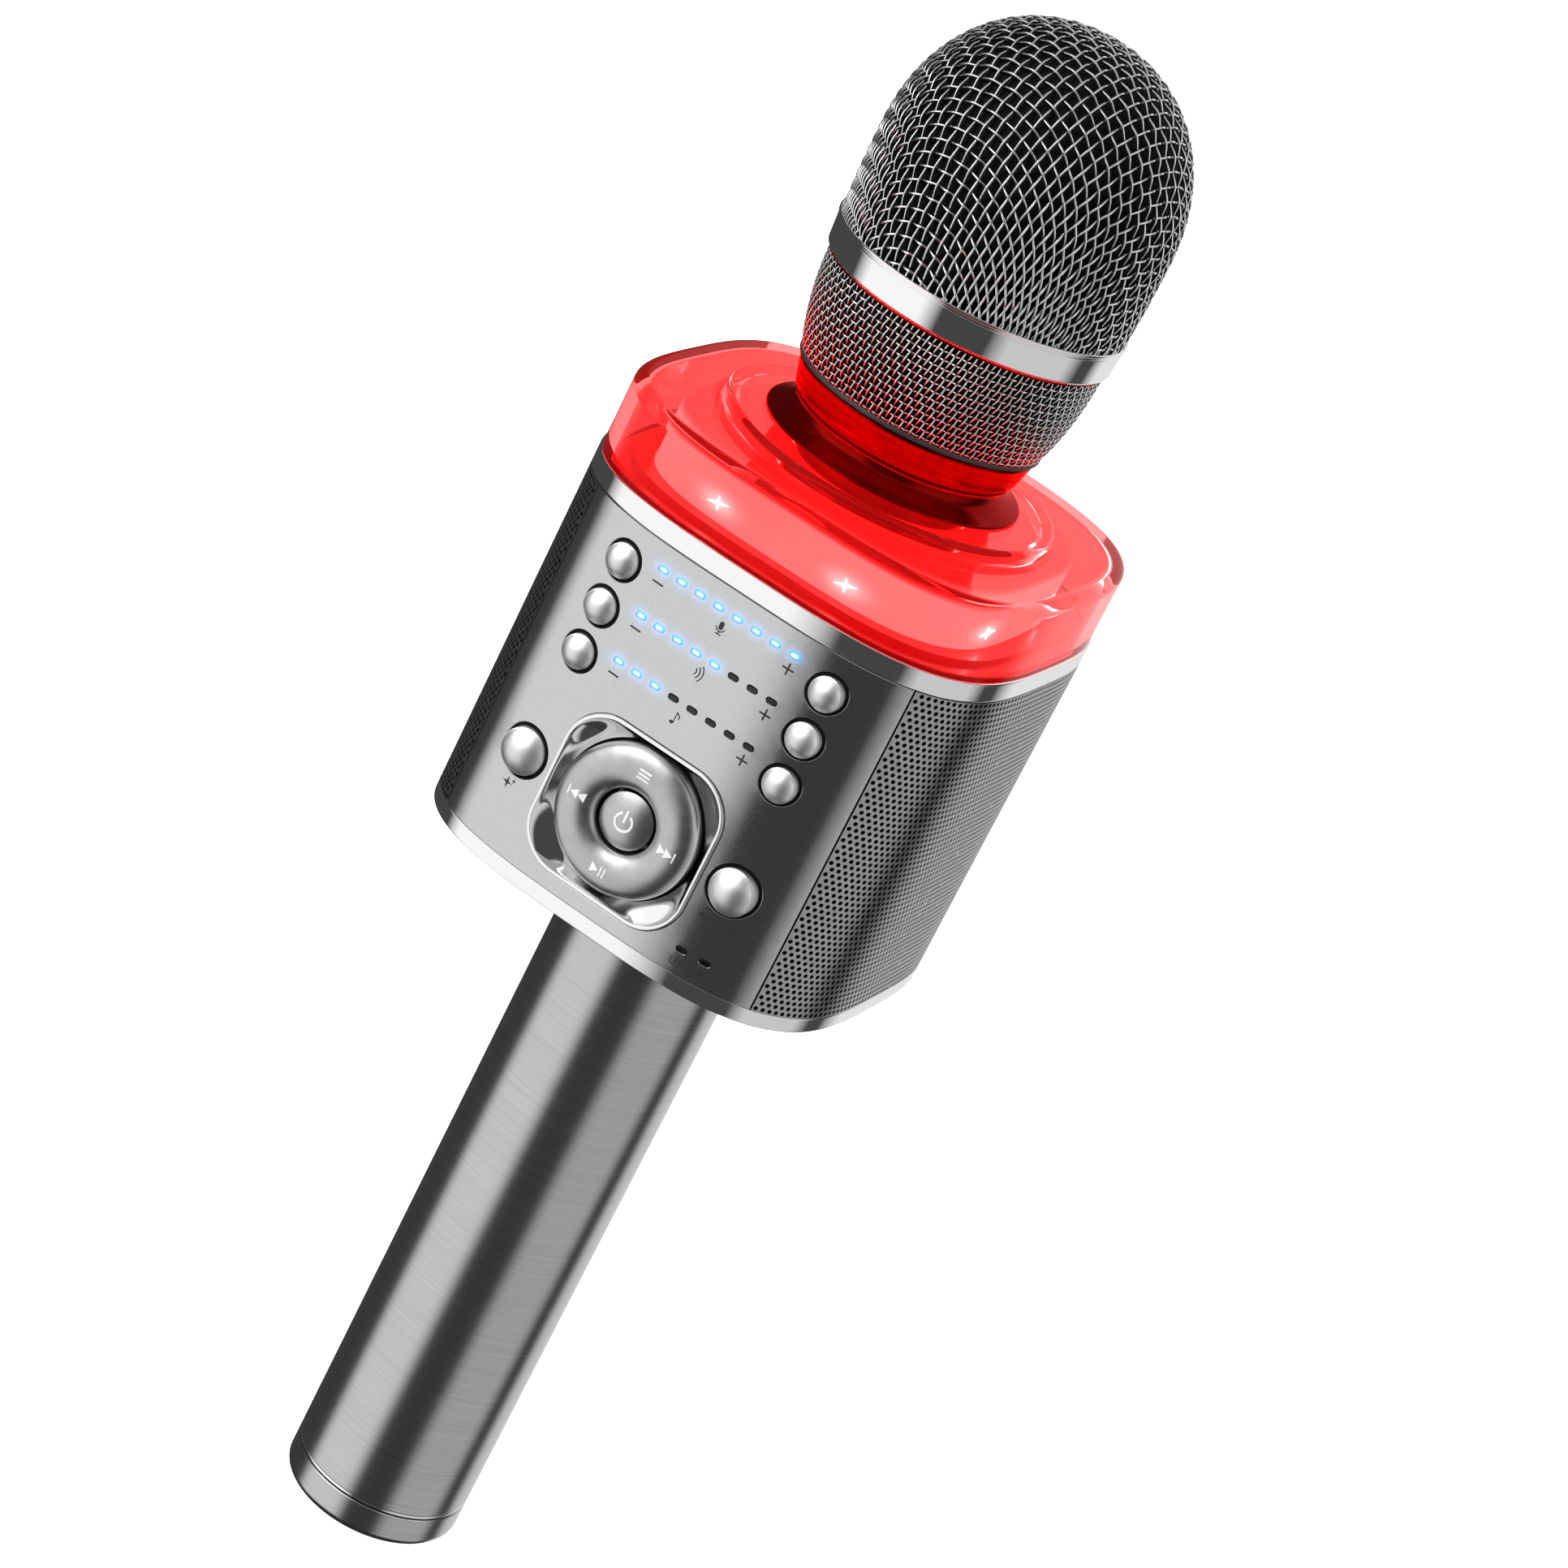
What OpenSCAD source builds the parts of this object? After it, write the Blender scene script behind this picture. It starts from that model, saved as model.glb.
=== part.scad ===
// Cordless karaoke microphone with a built-in speaker.
// The tail face lies on z = 0, the handle and head share the Z axis,
// and the control panel faces -Y.

/* [Handle] */
// Outer radius of the handle tube
handle_r = 15; // [14.6:0.1:17]
// Wall thickness of the handle tube
handle_wall = 1.4; // [1:0.1:1.8]
// Height of the speaker body's underside above the tail face
body_z = 122.5; // [118:0.5:150]
// Height of the tail cap's visible skirt
tail_h = 5.7; // [5:0.1:9]
// Distance that the tail cap unscrews before its thread lets go
tail_lift = 6; // [3:0.5:6]

/* [Battery] */
// Radius of the 18650 cell
cell_r = 9.2; // [9:0.1:9.4]
// Length of the cell
cell_len = 65; // [64:0.5:70]

/* [Speaker body] */
// Half of the body's width, left to right
half_w = 36.8; // [36:0.1:46]
// Half of the body's depth, front to back
half_d = 35.4; // [35:0.1:44]
// Squareness of the body's outline: 2 is an ellipse, higher is squarer
corner_power = 3.34; // [3:0.02:4]
// Height of the body, trim rings included
body_h = 62.1; // [60:0.1:80]
// Height of the bottom trim ring
low_trim_h = 1.8; // [1.4:0.1:3]
// Height of the top trim ring
top_trim_h = 2; // [1.4:0.1:3]
// Radial width of both trim rings
trim_wall = 2.5; // [2.2:0.1:3]

/* [Front panel] */
// Half of the panel's width
panel_half_w = 28.6; // [27:0.1:29.5]
// Thickness of the panel and of the grille wrap
skin = 1.2; // [0.8:0.1:1.4]
// Radius of the six small button holes
small_hole_r = 3.25; // [3:0.05:3.4]
// Radius of the two large button holes
big_hole_r = 4.25; // [3.8:0.05:4.4]
// Black gap between a button and its hole
button_gap = 0.4; // [0.3:0.05:0.6]
// Distance that a button travels
button_travel = 0.7; // [0.4:0.05:0.8]
// Distance of the small buttons from the panel's centre line
small_button_x = 18.35; // [17:0.05:19]
// Distance of the large buttons from the panel's centre line
big_button_x = 19.3; // [19:0.05:20]
// Height of the lowest level row above the body's underside
row_z = 37; // [36.5:0.1:39]
// Distance between level rows
row_pitch = 7.87; // [7.3:0.01:8.2]
// Height of the direction pad's centre above the body's underside
pad_z = 18.8; // [18:0.1:19.5]

/* [Direction pad] */
// Half of the bezel's width
bezel_half_w = 14.2; // [13.8:0.1:14.6]
// Half of the bezel's height
bezel_half_h = 13.6; // [13.4:0.1:14.2]
// Corner radius of the bezel
bezel_corner = 7.5; // [6:0.1:9]
// Outer radius of the ring pad
pad_r = 11.9; // [11.5:0.1:12.1]
// Radius of the power button
power_r = 4.6; // [4.4:0.1:4.8]

/* [Level lights] */
// Lights in one level row
row_leds = 8; // [6:1:8]
// Distance between lights in a row
led_pitch = 3.37; // [3:0.01:3.45]
// Length of a light's window
led_len = 1.75; // [1.4:0.05:2]
// Height of a light's window
led_h = 0.9; // [0.7:0.05:1]

/* [Light ring] */
// Height of the clear light cover above the body
cover_h = 12.7; // [11.5:0.1:18]
// Wall thickness of the light cover
cover_wall = 1.8; // [1.5:0.1:2]
// Height of the raised tier on the light cover
tier_h = 2; // [1.5:0.1:3]
// Radius of the raised tier
tier_r = 27; // [25:0.5:29]

/* [Neck and head] */
// Height of the neck between the light cover and the head
neck_h = 9.4; // [8.5:0.1:14]
// Radius of the head at its lower edge
head_low_r = 19.8; // [19.4:0.1:21.5]
// Radius of the head at the foot of the chrome band
band_low_r = 22.6; // [22.2:0.1:25]
// Radius of the head at the top of the chrome band
band_top_r = 23.4; // [23:0.1:26]
// Height of the mesh skirt below the band
skirt_h = 15.8; // [14:0.1:20]
// Height of the chrome band
band_h = 5.5; // [4:0.1:7]
// Largest radius of the mesh dome
dome_r = 23.5; // [23.2:0.1:26.5]
// Height of the dome's nearly straight lower part
dome_low_h = 13.3; // [10:0.1:18]
// Height of the dome's rounded top
dome_top_h = 25.7; // [22:0.1:32]
// Roundness of the dome: 2 is an ellipse
dome_power = 2.13; // [2:0.01:2.4]
// Distance that the head unscrews before its thread lets go
head_lift = 6; // [3:0.5:6]

/* [Hidden] */
$fn = 72;
outline_steps = 112;
curve_steps = 18;
over = 1;

// Clearances: a running fit, a gap within one body, and a moving gap
fit_gap = 0.06;
seat_gap = 0.05;
move_gap = 0.3;

// Levels along the Z axis
body_top = body_z + body_h;
skin_low = body_z + low_trim_h;
skin_top = body_top - top_trim_h;
cover_top = body_top + cover_h;
tier_top = cover_top + tier_h;
head_z = tier_top + neck_h;
gasket_h = 0.9;
skirt_z = head_z + gasket_h;
band_z = head_z + gasket_h + skirt_h - 0.3;
dome_z = band_z + band_h;
wide_z = dome_z + dome_low_h;
top_z = wide_z + dome_top_h;

// Handle and tail
bore_r = handle_r - handle_wall;
seam = 0.3;
tail_ring_h = 0.5;
tail_ring_z = tail_h + seam;
tube_z = tail_ring_z + tail_ring_h;
socket_depth = 14;
tube_top = body_z + socket_depth;
shoulder_r = handle_r - 0.4;
spigot_r = bore_r - move_gap;
spigot_top = tube_z + tail_lift + 2;
tail_fillet = 1.6;
oring_z = tube_z + tail_lift * 0.35;
oring_h = 1.4;
cell_z = 38;
cradle_r = bore_r - seat_gap;

// Depths behind the panel, on the Y axis
board_front = -26.5;
board_t = 1.5;
switch_h = 1.1;
plunger_top = board_front - switch_h - 0.3;
stem_end = plunger_top - move_gap - button_travel;
flange_t = 0.8;

// Direction pad
pad_level = body_z + pad_z;
pad_hole_r = pad_r + button_gap;
pad_inner_r = power_r + button_gap;
pad_edge = -half_d + 0.9;
pad_crown = 1.9;
pad_back = -half_d + 2.9;
bezel_front = -half_d - 0.15;
bezel_back = -half_d + 4.2;
dish_depth = 2.2;

// Speaker drivers, which face left and right
driver_r = 18;
driver_z = body_z + 31;
driver_seat = half_w - 5.8;
cone_travel = 0.8;
cone_r = 13.4;
coil_r = 4.6;

// Screws of the deck, the control board, the handle and the drivers, with heads screw_head times as wide
deck_screw_x = half_w - 7.8;
deck_screw_y = half_d - 13.9;
deck_screw_low = skin_top - 8;
board_screw_x = 24.2;
board_screw_z = [body_z + 24.5, body_z + 55];
handle_screw_z = body_z + 9;
screw_r = 1;
board_screw_r = 0.8;
driver_screw_r = 0.5;
screw_head = 1.9;
// Half width of the opening in the chassis that the control board and its screw heads sit in
board_bay = board_screw_x + board_screw_r * screw_head + seat_gap;
// Ledges that the control board is screwed to
ledge_x = (half_w + 22) / 2;
ledge_len = half_w / 2;
driver_screw_at = driver_r - 1.1;

// Ports at the foot of the rear wall
port_level = body_z + 7.6;
port_half_w = 19;
aux_x = -12;
usb_x = -2.5;
card_x = 11;
jack_bore_r = 1.8;
jack_bore_len = 14;
port_face = half_d - 0.5;

// Neck and capsule
thread_r = 16;
thread_h = 7.6;
neck_bore_r = 12.6;
sleeve_r = 14;
capsule_r = 10;
mesh_t = 0.9;
foam_t = 3.2;

// Board heights inside the light ring
deck_top = body_top - 0.3;
led_board_z = deck_top + 0.1;
led_board_t = 1.2;
light_led_count = 8;
light_led_r = 22;

// The panel's outer surface at a distance x from its centre line
function panel_y(x) = -half_d * pow(1 - pow(abs(x) / half_w, corner_power), 1 / corner_power);

// One coordinate of the rounded-square outline
function bend(v) = sign(v) * pow(abs(v), 2 / corner_power);

// The body's outline, moved inwards by inset
function outline(inset) = [for (i = [0:outline_steps - 1])
    let (t = 360 * i / outline_steps)
    [(half_w - inset) * bend(cos(t)), (half_d - inset) * bend(sin(t))]];

// The dome's outer radius on the way from its widest level to its top
function dome_at(u) = dome_r * pow(max(0, 1 - pow(u, dome_power)), 1 / dome_power);

// Points of the head's mesh surface, moved inwards by inset
function dome_curve(inset) = concat(
    [for (i = [0:5]) let (v = i / 6)
        [dome_r - (dome_r - band_top_r + 0.3) * pow(1 - v, 3) - inset, dome_z + dome_low_h * v]],
    [for (i = [0:curve_steps]) let (u = sin(90 * i / curve_steps))
        [max(0, dome_at(u) * (1 - inset / dome_r)), wide_z + (dome_top_h - inset) * u]]);

// The skirt's outer radius at a share v of its height, slightly convex
function skirt_r(v) = head_low_r + (band_low_r - 0.2 - head_low_r) * sin(90 * pow(v, 0.85));

function skirt_curve(inset) = [for (i = [0:8]) let (v = i / 8)
    [skirt_r(v) - inset, skirt_z + (band_z - skirt_z) * v]];

function reversed(list) = [for (i = [len(list) - 1:-1:0]) list[i]];

// A cylinder along +Y between y0 and y1
module rod_y(x, z, y0, y1, r) {
    translate([x, y0, z]) rotate([-90, 0, 0]) cylinder(h = y1 - y0, r = r);
}

// A cylinder along +X between x0 and x1, with end radii r0 and r1
module rod_x(x0, x1, y, z, r0, r1) {
    translate([x0, y, z]) rotate([0, 90, 0]) cylinder(h = x1 - x0, r1 = r0, r2 = r1);
}

// A cylinder along +Z between z0 and z1
module rod_z(z0, z1, r) {
    translate([0, 0, z0]) cylinder(h = z1 - z0, r = r);
}

// A pipe along +Z
module pipe_z(z0, z1, outer, inner) {
    difference() {
        rod_z(z0, z1, outer);
        rod_z(z0 - over, z1 + over, inner);
    }
}

// A slab with the body's outline
module slab(inset, z0, z1) {
    translate([0, 0, z0]) linear_extrude(z1 - z0) polygon(outline(inset));
}

// A wall that follows the body's outline
module wall(outer_inset, inner_inset, z0, z1) {
    difference() {
        slab(outer_inset, z0, z1);
        slab(inner_inset, z0 - over, z1 + over);
    }
}

// Everything in front of the panel's side edges
module panel_zone(half, margin) {
    translate([-half, -half_d - margin, body_z - margin])
        cube([2 * half, half_d - 12, body_h + 2 * margin]);
}

// A pill-shaped bar along Y
module pill(x, z, y0, y1, length, height) {
    r = height / 2;
    straight = length / 2 - r;
    rod_y(x - straight, z, y0, y1, r);
    rod_y(x + straight, z, y0, y1, r);
    translate([x - straight, y0, z - r]) cube([2 * straight, y1 - y0, height]);
}

// A rounded-square bar along Y about the pad's centre
module pad_block(w, h, corner, y0, y1) {
    for (sx = [-1, 1], sz = [-1, 1]) {
        rod_y(sx * (w - corner), pad_level + sz * (h - corner), y0, y1, corner);
    }
    translate([-w + corner, y0, pad_level - h]) cube([2 * (w - corner), y1 - y0, 2 * h]);
    translate([-w, y0, pad_level - h + corner]) cube([2 * w, y1 - y0, 2 * (h - corner)]);
}

// All windows of the level rows and the two status lights
module all_pills(y0, y1, grow) {
    for (row = [0:2], i = [0:row_leds - 1]) {
        pill((i - (row_leds - 1) / 2) * led_pitch, body_z + row_z + 2.55 + row * row_pitch,
             y0, y1, led_len + 2 * grow, led_h + 2 * grow);
    }
    for (x = [16.5, 20.4]) {
        pill(x, body_z + 6.6, y0, y1, led_len + 2 * grow, led_h + 2 * grow);
    }
}

// A screw with its head towards +Z and its tip at the origin
module screw(r, length) {
    cylinder(h = length, r = r, $fn = 24);
    difference() {
        translate([0, 0, length]) cylinder(h = 1.2, r = r * screw_head, $fn = 24);
        translate([-r, -0.25, length + 0.6]) cube([2 * r, 0.5, over]);
        translate([-0.25, -r, length + 0.6]) cube([0.5, 2 * r, over]);
    }
}

// ---- Handle ----

// The tube is turned down where the bottom cover's socket holds it
module handle_tube() {
    color("dimgray") difference() {
        union() {
            pipe_z(tube_z, body_z, handle_r, bore_r);
            pipe_z(body_z - 0.01, tube_top, shoulder_r, bore_r);
        }
        handle_screw_holes();
    }
}

module handle_screw_holes() {
    rod_x(-handle_r - 4, handle_r + 4, 0, handle_screw_z, screw_r + seat_gap, screw_r + seat_gap);
}

module at_deck_screws() {
    for (sx = [-1, 1], sy = [-1, 1]) {
        translate([sx * deck_screw_x, sy * deck_screw_y, 0]) children();
    }
}

module board_screw_holes(y0, y1) {
    for (sx = [-1, 1], z = board_screw_z) {
        rod_y(sx * board_screw_x, z, y0, y1, board_screw_r + seat_gap);
    }
}

// Holes through a driver's flange and its seat, on both sides
module driver_screw_holes(x0, x1) {
    for (side = [-1, 1], a = [45:90:315]) {
        on_side(side) translate([x0, 0, driver_z]) rotate([a, 0, 0]) translate([0, 0, driver_screw_at])
            rotate([0, 90, 0]) cylinder(h = x1 - x0, r = driver_screw_r + seat_gap, $fn = 24);
    }
}

module tail_trim_ring() {
    color("silver") pipe_z(tail_ring_z, tube_z, handle_r - 0.05, bore_r);
}

module tail_cap() {
    color("dimgray") difference() {
        union() {
            rotate_extrude() difference() {
                square([handle_r, tail_h]);
                translate([handle_r - tail_fillet, 0]) difference() {
                    square([tail_fillet + over, tail_fillet]);
                    translate([0, tail_fillet]) circle(r = tail_fillet);
                }
            }
            rod_z(tail_h - 0.1, spigot_top, spigot_r);
        }
        rod_z(2, spigot_top + over, spigot_r - 2.6);
        pipe_z(oring_z - 0.1, oring_z + oring_h + 0.1, handle_r, spigot_r - 1.3);
    }
}

module tail_oring() {
    color("black") pipe_z(oring_z, oring_z + oring_h, bore_r - fit_gap, spigot_r - 1.2);
}

module battery_cell() {
    color("royalblue") union() {
        rod_z(cell_z, cell_z + cell_len, cell_r);
        rod_z(cell_z, cell_z + cell_len + 1, 2.8);
    }
}

module battery_cradle() {
    color("black") difference() {
        rod_z(cell_z - 4, cell_z + cell_len + 6, cradle_r);
        rod_z(cell_z - seat_gap, cell_z + cell_len + 1.2, cell_r + seat_gap);
        rod_z(cell_z - 4 - over, cell_z + cell_len + 6 + over, 3.2);
        translate([-bore_r, -bore_r - 4, cell_z + 2]) cube([2 * bore_r, bore_r, cell_len - 4]);
    }
}

// ---- Speaker body ----

module bottom_trim_ring() {
    color("silver") wall(0, trim_wall, body_z, skin_low);
}

module top_trim_ring() {
    color("silver") wall(0, trim_wall, skin_top, body_top);
}

module bottom_cover() {
    color("black") difference() {
        union() {
            slab(trim_wall + seat_gap, body_z + 0.6, skin_low);
            slab(skin + 2.9, skin_low, skin_low + 1.8);
            rod_z(skin_low, tube_top, handle_r + 2.4);
        }
        rod_z(body_z, tube_top + over, shoulder_r + seat_gap);
        handle_screw_holes();
    }
}

module top_deck() {
    color("black") difference() {
        union() {
            slab(skin + 2.9, skin_top - 2, skin_top);
            slab(trim_wall + seat_gap, skin_top, deck_top);
        }
        rod_z(skin_top - 3, deck_top + over, 9);
        at_deck_screws() {
            rod_z(skin_top - 3, deck_top + over, screw_r + seat_gap);
            rod_z(deck_top - 1.3, deck_top + over, 2);
        }
    }
}

// Chassis behind the panel and the grille, with driver seats, screw posts and board ledges
module inner_frame() {
    z0 = skin_low;
    z1 = skin_top;
    color("darkslategray") difference() {
        union() {
            at_deck_screws() rod_z(skin_top - 10, skin_top - 2, 2.4);
            intersection() {
                slab(skin + seat_gap, z0, z1);
                for (sx = [-1, 1], z = board_screw_z) {
                    translate([sx * ledge_x - ledge_len / 2, board_front + board_t, z - 2.2])
                        cube([ledge_len, 4, 4.4]);
                }
            }
            wall(skin + seat_gap, skin + 2.8, z0, z1);
            for (side = [-1, 1]) {
                intersection() {
                    slab(skin + seat_gap, z0, z1);
                    rod_x(min(side * driver_seat, side * half_w), max(side * driver_seat, side * half_w),
                          0, driver_z, driver_r + 0.6, driver_r + 0.6);
                }
            }
        }
        rod_x(-half_w, half_w, 0, driver_z, driver_r - 2, driver_r - 2);
        translate([-board_bay, -half_d, z0 + 2.5])
            cube([2 * board_bay, half_d + board_front + board_t, z1 - z0 - 5]);
        at_deck_screws() rod_z(deck_screw_low - over, z1, screw_r + seat_gap);
        board_screw_holes(board_front, board_front + 8);
        driver_screw_holes(driver_seat - over, driver_seat + 2.4);
        translate([-port_half_w + 1, half_d - 8, z0 + 1.2]) cube([2 * port_half_w - 2, 10, 8.6]);
    }
}

module button_holes() {
    for (side = [-1, 1]) {
        for (row = [0:2]) {
            rod_y(side * small_button_x, body_z + row_z + row * row_pitch, -half_d - over, -25, small_hole_r);
        }
        rod_y(side * big_button_x, pad_level, -half_d - over, -25, big_hole_r);
    }
}

module front_panel() {
    color("gray") difference() {
        intersection() {
            wall(0, skin, skin_low, skin_top);
            panel_zone(panel_half_w, over);
        }
        button_holes();
        all_pills(-half_d - over, -25, 0);
        pad_block(bezel_half_w, bezel_half_h, bezel_corner, -half_d - over, -25);
    }
}

module grille_wrap() {
    color("dimgray") difference() {
        wall(0, skin, skin_low, skin_top);
        panel_zone(panel_half_w + 0.15, over);
        port_window(0);
    }
}

// The space that the port plate fills in the rear wall
module port_window(shrink) {
    translate([-port_half_w + shrink, 0, body_z + 3 + shrink])
        cube([2 * (port_half_w - shrink), half_d + over, 9.2 - 2 * shrink]);
}

module port_plate() {
    color("black") difference() {
        intersection() {
            wall(0, skin, skin_low, skin_top);
            port_window(seat_gap);
        }
        rod_y(aux_x, port_level, half_d - 6, half_d + over, 2.9 + seat_gap);
        pill(usb_x, port_level, half_d - 6, half_d + over, 9 + 2 * seat_gap, 3.3 + 2 * seat_gap);
        translate([card_x - 5.8, half_d - 6, port_level - 0.7]) cube([11.6, 8, 1.4]);
        translate([card_x - 6.7, half_d - 6, port_level - 1.2]) cube([13.4, 6 - skin + 0.1, 2.4]);
    }
}

// Screws that hold the deck, the control board and the handle's socket
module case_screws() {
    color("silver") {
        at_deck_screws() translate([0, 0, deck_screw_low]) screw(screw_r, deck_top - 1.2 - deck_screw_low);
        for (sx = [-1, 1], z = board_screw_z) {
            translate([sx * board_screw_x, board_front + board_t + 3.4, z]) rotate([90, 0, 0])
                screw(board_screw_r, board_t + 3.4);
        }
        for (side = [-1, 1]) {
            translate([side * (bore_r + 0.2), 0, handle_screw_z]) rotate([0, side * 90, 0])
                screw(screw_r, handle_r + 2.4 - bore_r - 0.2);
        }
    }
}

// ---- Controls ----

module control_board() {
    top = skin_top - 2.5;
    low = body_z + 4.2;
    color("darkgreen") difference() {
        translate([-25.2, board_front, low]) cube([50.4, board_t, top - low]);
        board_screw_holes(board_front - over, board_front + board_t + over);
    }
}

module tact_switch(x, z) {
    translate([x - 1.7, board_front - switch_h, z - 1.7]) cube([3.4, switch_h, 3.4]);
    rod_y(x, z, plunger_top, board_front - switch_h, 0.9, $fn = 24);
}

module tact_switches() {
    color("silver") {
        for (side = [-1, 1]) {
            for (row = [0:2]) {
                tact_switch(side * small_button_x, body_z + row_z + row * row_pitch);
            }
            tact_switch(side * big_button_x, pad_level);
            tact_switch(side * 9.3, pad_level);
            tact_switch(0, pad_level + side * 9.3);
        }
        tact_switch(0, pad_level);
    }
}

module display_leds() {
    color("white") all_pills(board_front - 0.8, board_front, 0);
}

module led_windows() {
    color("lightblue") intersection() {
        all_pills(-half_d, -half_d + 4, -seat_gap);
        slab(0.1, skin_low, skin_top);
    }
}

module pad_bezel() {
    color("silver") difference() {
        pad_block(bezel_half_w - seat_gap, bezel_half_h - seat_gap, bezel_corner - seat_gap,
                  bezel_front, bezel_back);
        rod_y(0, pad_level, bezel_front - over, bezel_back + over, pad_hole_r);
        translate([0, bezel_front - 0.01, pad_level]) rotate([-90, 0, 0])
            cylinder(h = dish_depth, r1 = pad_hole_r + 7, r2 = pad_hole_r - 0.5);
    }
}

// Rocker under the ring pad: it tips up and down, the ring tips left and right
module pad_carrier() {
    color("dimgray") difference() {
        rod_y(0, pad_level, pad_back + 0.6, pad_back + 1.5, 7.4);
        rod_y(0, pad_level, pad_back, pad_back + 3, pad_inner_r + 0.9);
    }
}

module ring_pad() {
    mid = (pad_r + pad_inner_r) / 2;
    half = (pad_r - pad_inner_r) / 2;
    color("gray") {
        translate([0, 0, pad_level]) rotate([90, 0, 0]) rotate_extrude() {
            translate([pad_inner_r, -pad_back]) square([2 * half, pad_back - pad_edge]);
            intersection() {
                translate([mid, -pad_edge]) scale([1, pad_crown / half]) circle(r = half);
                translate([0, -pad_edge - 0.01]) square([pad_r + over, pad_crown + over]);
            }
        }
        for (side = [-1, 1]) {
            rod_y(side * 9.3, pad_level, pad_back - 0.1, stem_end, 1);
            rod_y(0, pad_level + side * 9.3, pad_back - 0.1, stem_end, 1);
        }
    }
}

// A button along Y: domed cap, retaining flange and stem, turned as one profile
module dome_button(x, z, r, edge, crown, flange_y) {
    ball = (r * r + crown * crown) / (2 * crown);
    color("lightgray") translate([x, 0, z]) rotate([90, 0, 0]) rotate_extrude() {
        translate([0, -flange_y]) square([r, flange_y - edge]);
        intersection() {
            translate([0, crown - edge - ball]) circle(r = ball);
            translate([0, -edge]) square([r, crown + over]);
        }
        translate([0, -flange_y - flange_t]) square([r + 0.55, flange_t]);
        translate([0, -stem_end]) square([1.2, stem_end - flange_y]);
    }
}

module small_button(side, row) {
    r = small_hole_r - button_gap;
    dome_button(side * small_button_x, body_z + row_z + row * row_pitch, r,
                panel_y(small_button_x - r) - 0.1, 1.1,
                panel_y(small_button_x + r + 0.55) + skin + move_gap + 0.1);
}

module big_button(side) {
    r = big_hole_r - button_gap;
    dome_button(side * big_button_x, pad_level, r,
                panel_y(big_button_x - r) - 0.1, 1.5,
                panel_y(big_button_x + r + 0.55) + skin + move_gap + 0.1);
}

module button_mic_minus() { small_button(-1, 2); }
module button_mic_plus() { small_button(1, 2); }
module button_echo_minus() { small_button(-1, 1); }
module button_echo_plus() { small_button(1, 1); }
module button_music_minus() { small_button(-1, 0); }
module button_music_plus() { small_button(1, 0); }
module button_voice() { big_button(-1); }
module button_light() { big_button(1); }

module power_button() {
    dome_button(0, pad_level, power_r, pad_edge - 0.2, 0.9, pad_back + 0.7);
}

// ---- Speaker drivers ----

// Places a right-hand driver on either side of the body
module on_side(side) {
    mirror([side < 0 ? 1 : 0, 0, 0]) children();
}

module speaker_basket(side) {
    seat = driver_seat;
    color("dimgray") on_side(side) difference() {
        union() {
            rod_x(seat - 1.6, seat, 0, driver_z, driver_r, driver_r);
            rod_x(seat - 11.5, seat - 1.6, 0, driver_z, 12.6, 15.8);
        }
        rod_x(seat - 10.3, seat + over, 0, driver_z, 11.4, 15.2);
        rod_x(seat - 2.6, seat + over, 0, driver_z, 15.6, 15.6);
        rod_x(seat - 12, seat, 0, driver_z, coil_r + 1.2, coil_r + 1.2);
        for (a = [0:90:270]) {
            translate([seat - 6, 0, driver_z]) rotate([a, 0, 0]) translate([0, 0, 8])
                cylinder(h = 12, r = 3.6, $fn = 32);
        }
        driver_screw_holes(seat - 3, seat + over);
    }
}

module speaker_magnet(side) {
    back = driver_seat - 11.5;
    color("darkgray") on_side(side) difference() {
        rod_x(back - 8, back, 0, driver_z, 12.5, 12.5);
        rod_x(back - 4, back + over, 0, driver_z, coil_r + 0.5, coil_r + 0.5);
    }
}

module speaker_cone(side) {
    front = driver_seat - 1.8;
    color("dimgray") on_side(side) difference() {
        union() {
            rod_x(front - 5.5, front, 0, driver_z, 5.4, cone_r);
            rod_x(front - 10.6, front - 5, 0, driver_z, coil_r, coil_r);
        }
        rod_x(front - 4.9, front + 0.61, 0, driver_z, 5.4, cone_r);
        rod_x(front - 10.6 - over, front - 6.2, 0, driver_z, coil_r - 0.5, coil_r - 0.5);
    }
}

module speaker_surround(side) {
    front = driver_seat - 1.8;
    color("black") on_side(side) translate([front + 0.4, 0, driver_z]) rotate([0, 90, 0])
        rotate_extrude() difference() {
            translate([14.6, 0]) circle(r = 0.9, $fn = 32);
            translate([14.6, -0.3]) circle(r = 0.5, $fn = 32);
            translate([13, -2]) square([3.2, 1.6]);
        }
}

module speaker_screws() {
    color("silver") for (side = [-1, 1], a = [45:90:315]) {
        on_side(side) translate([driver_seat + 1.4, 0, driver_z]) rotate([a, 0, 0])
            translate([0, 0, driver_screw_at]) rotate([0, -90, 0]) screw(driver_screw_r, 3);
    }
}

module speaker_basket_left() { speaker_basket(-1); }
module speaker_basket_right() { speaker_basket(1); }
module speaker_magnet_left() { speaker_magnet(-1); }
module speaker_magnet_right() { speaker_magnet(1); }
module speaker_cone_left() { speaker_cone(-1); }
module speaker_cone_right() { speaker_cone(1); }
module speaker_surround_left() { speaker_surround(-1); }
module speaker_surround_right() { speaker_surround(1); }

// ---- Rear electronics ----

module main_board() {
    color("darkgreen") translate([-16, 22, body_z + 12.5]) cube([32, 1.6, 42]);
    color("black") {
        translate([-7, 20, body_z + 28]) cube([10, 2, 10]);
        translate([5, 20.4, body_z + 40]) cube([7, 1.6, 5]);
    }
}

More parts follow.
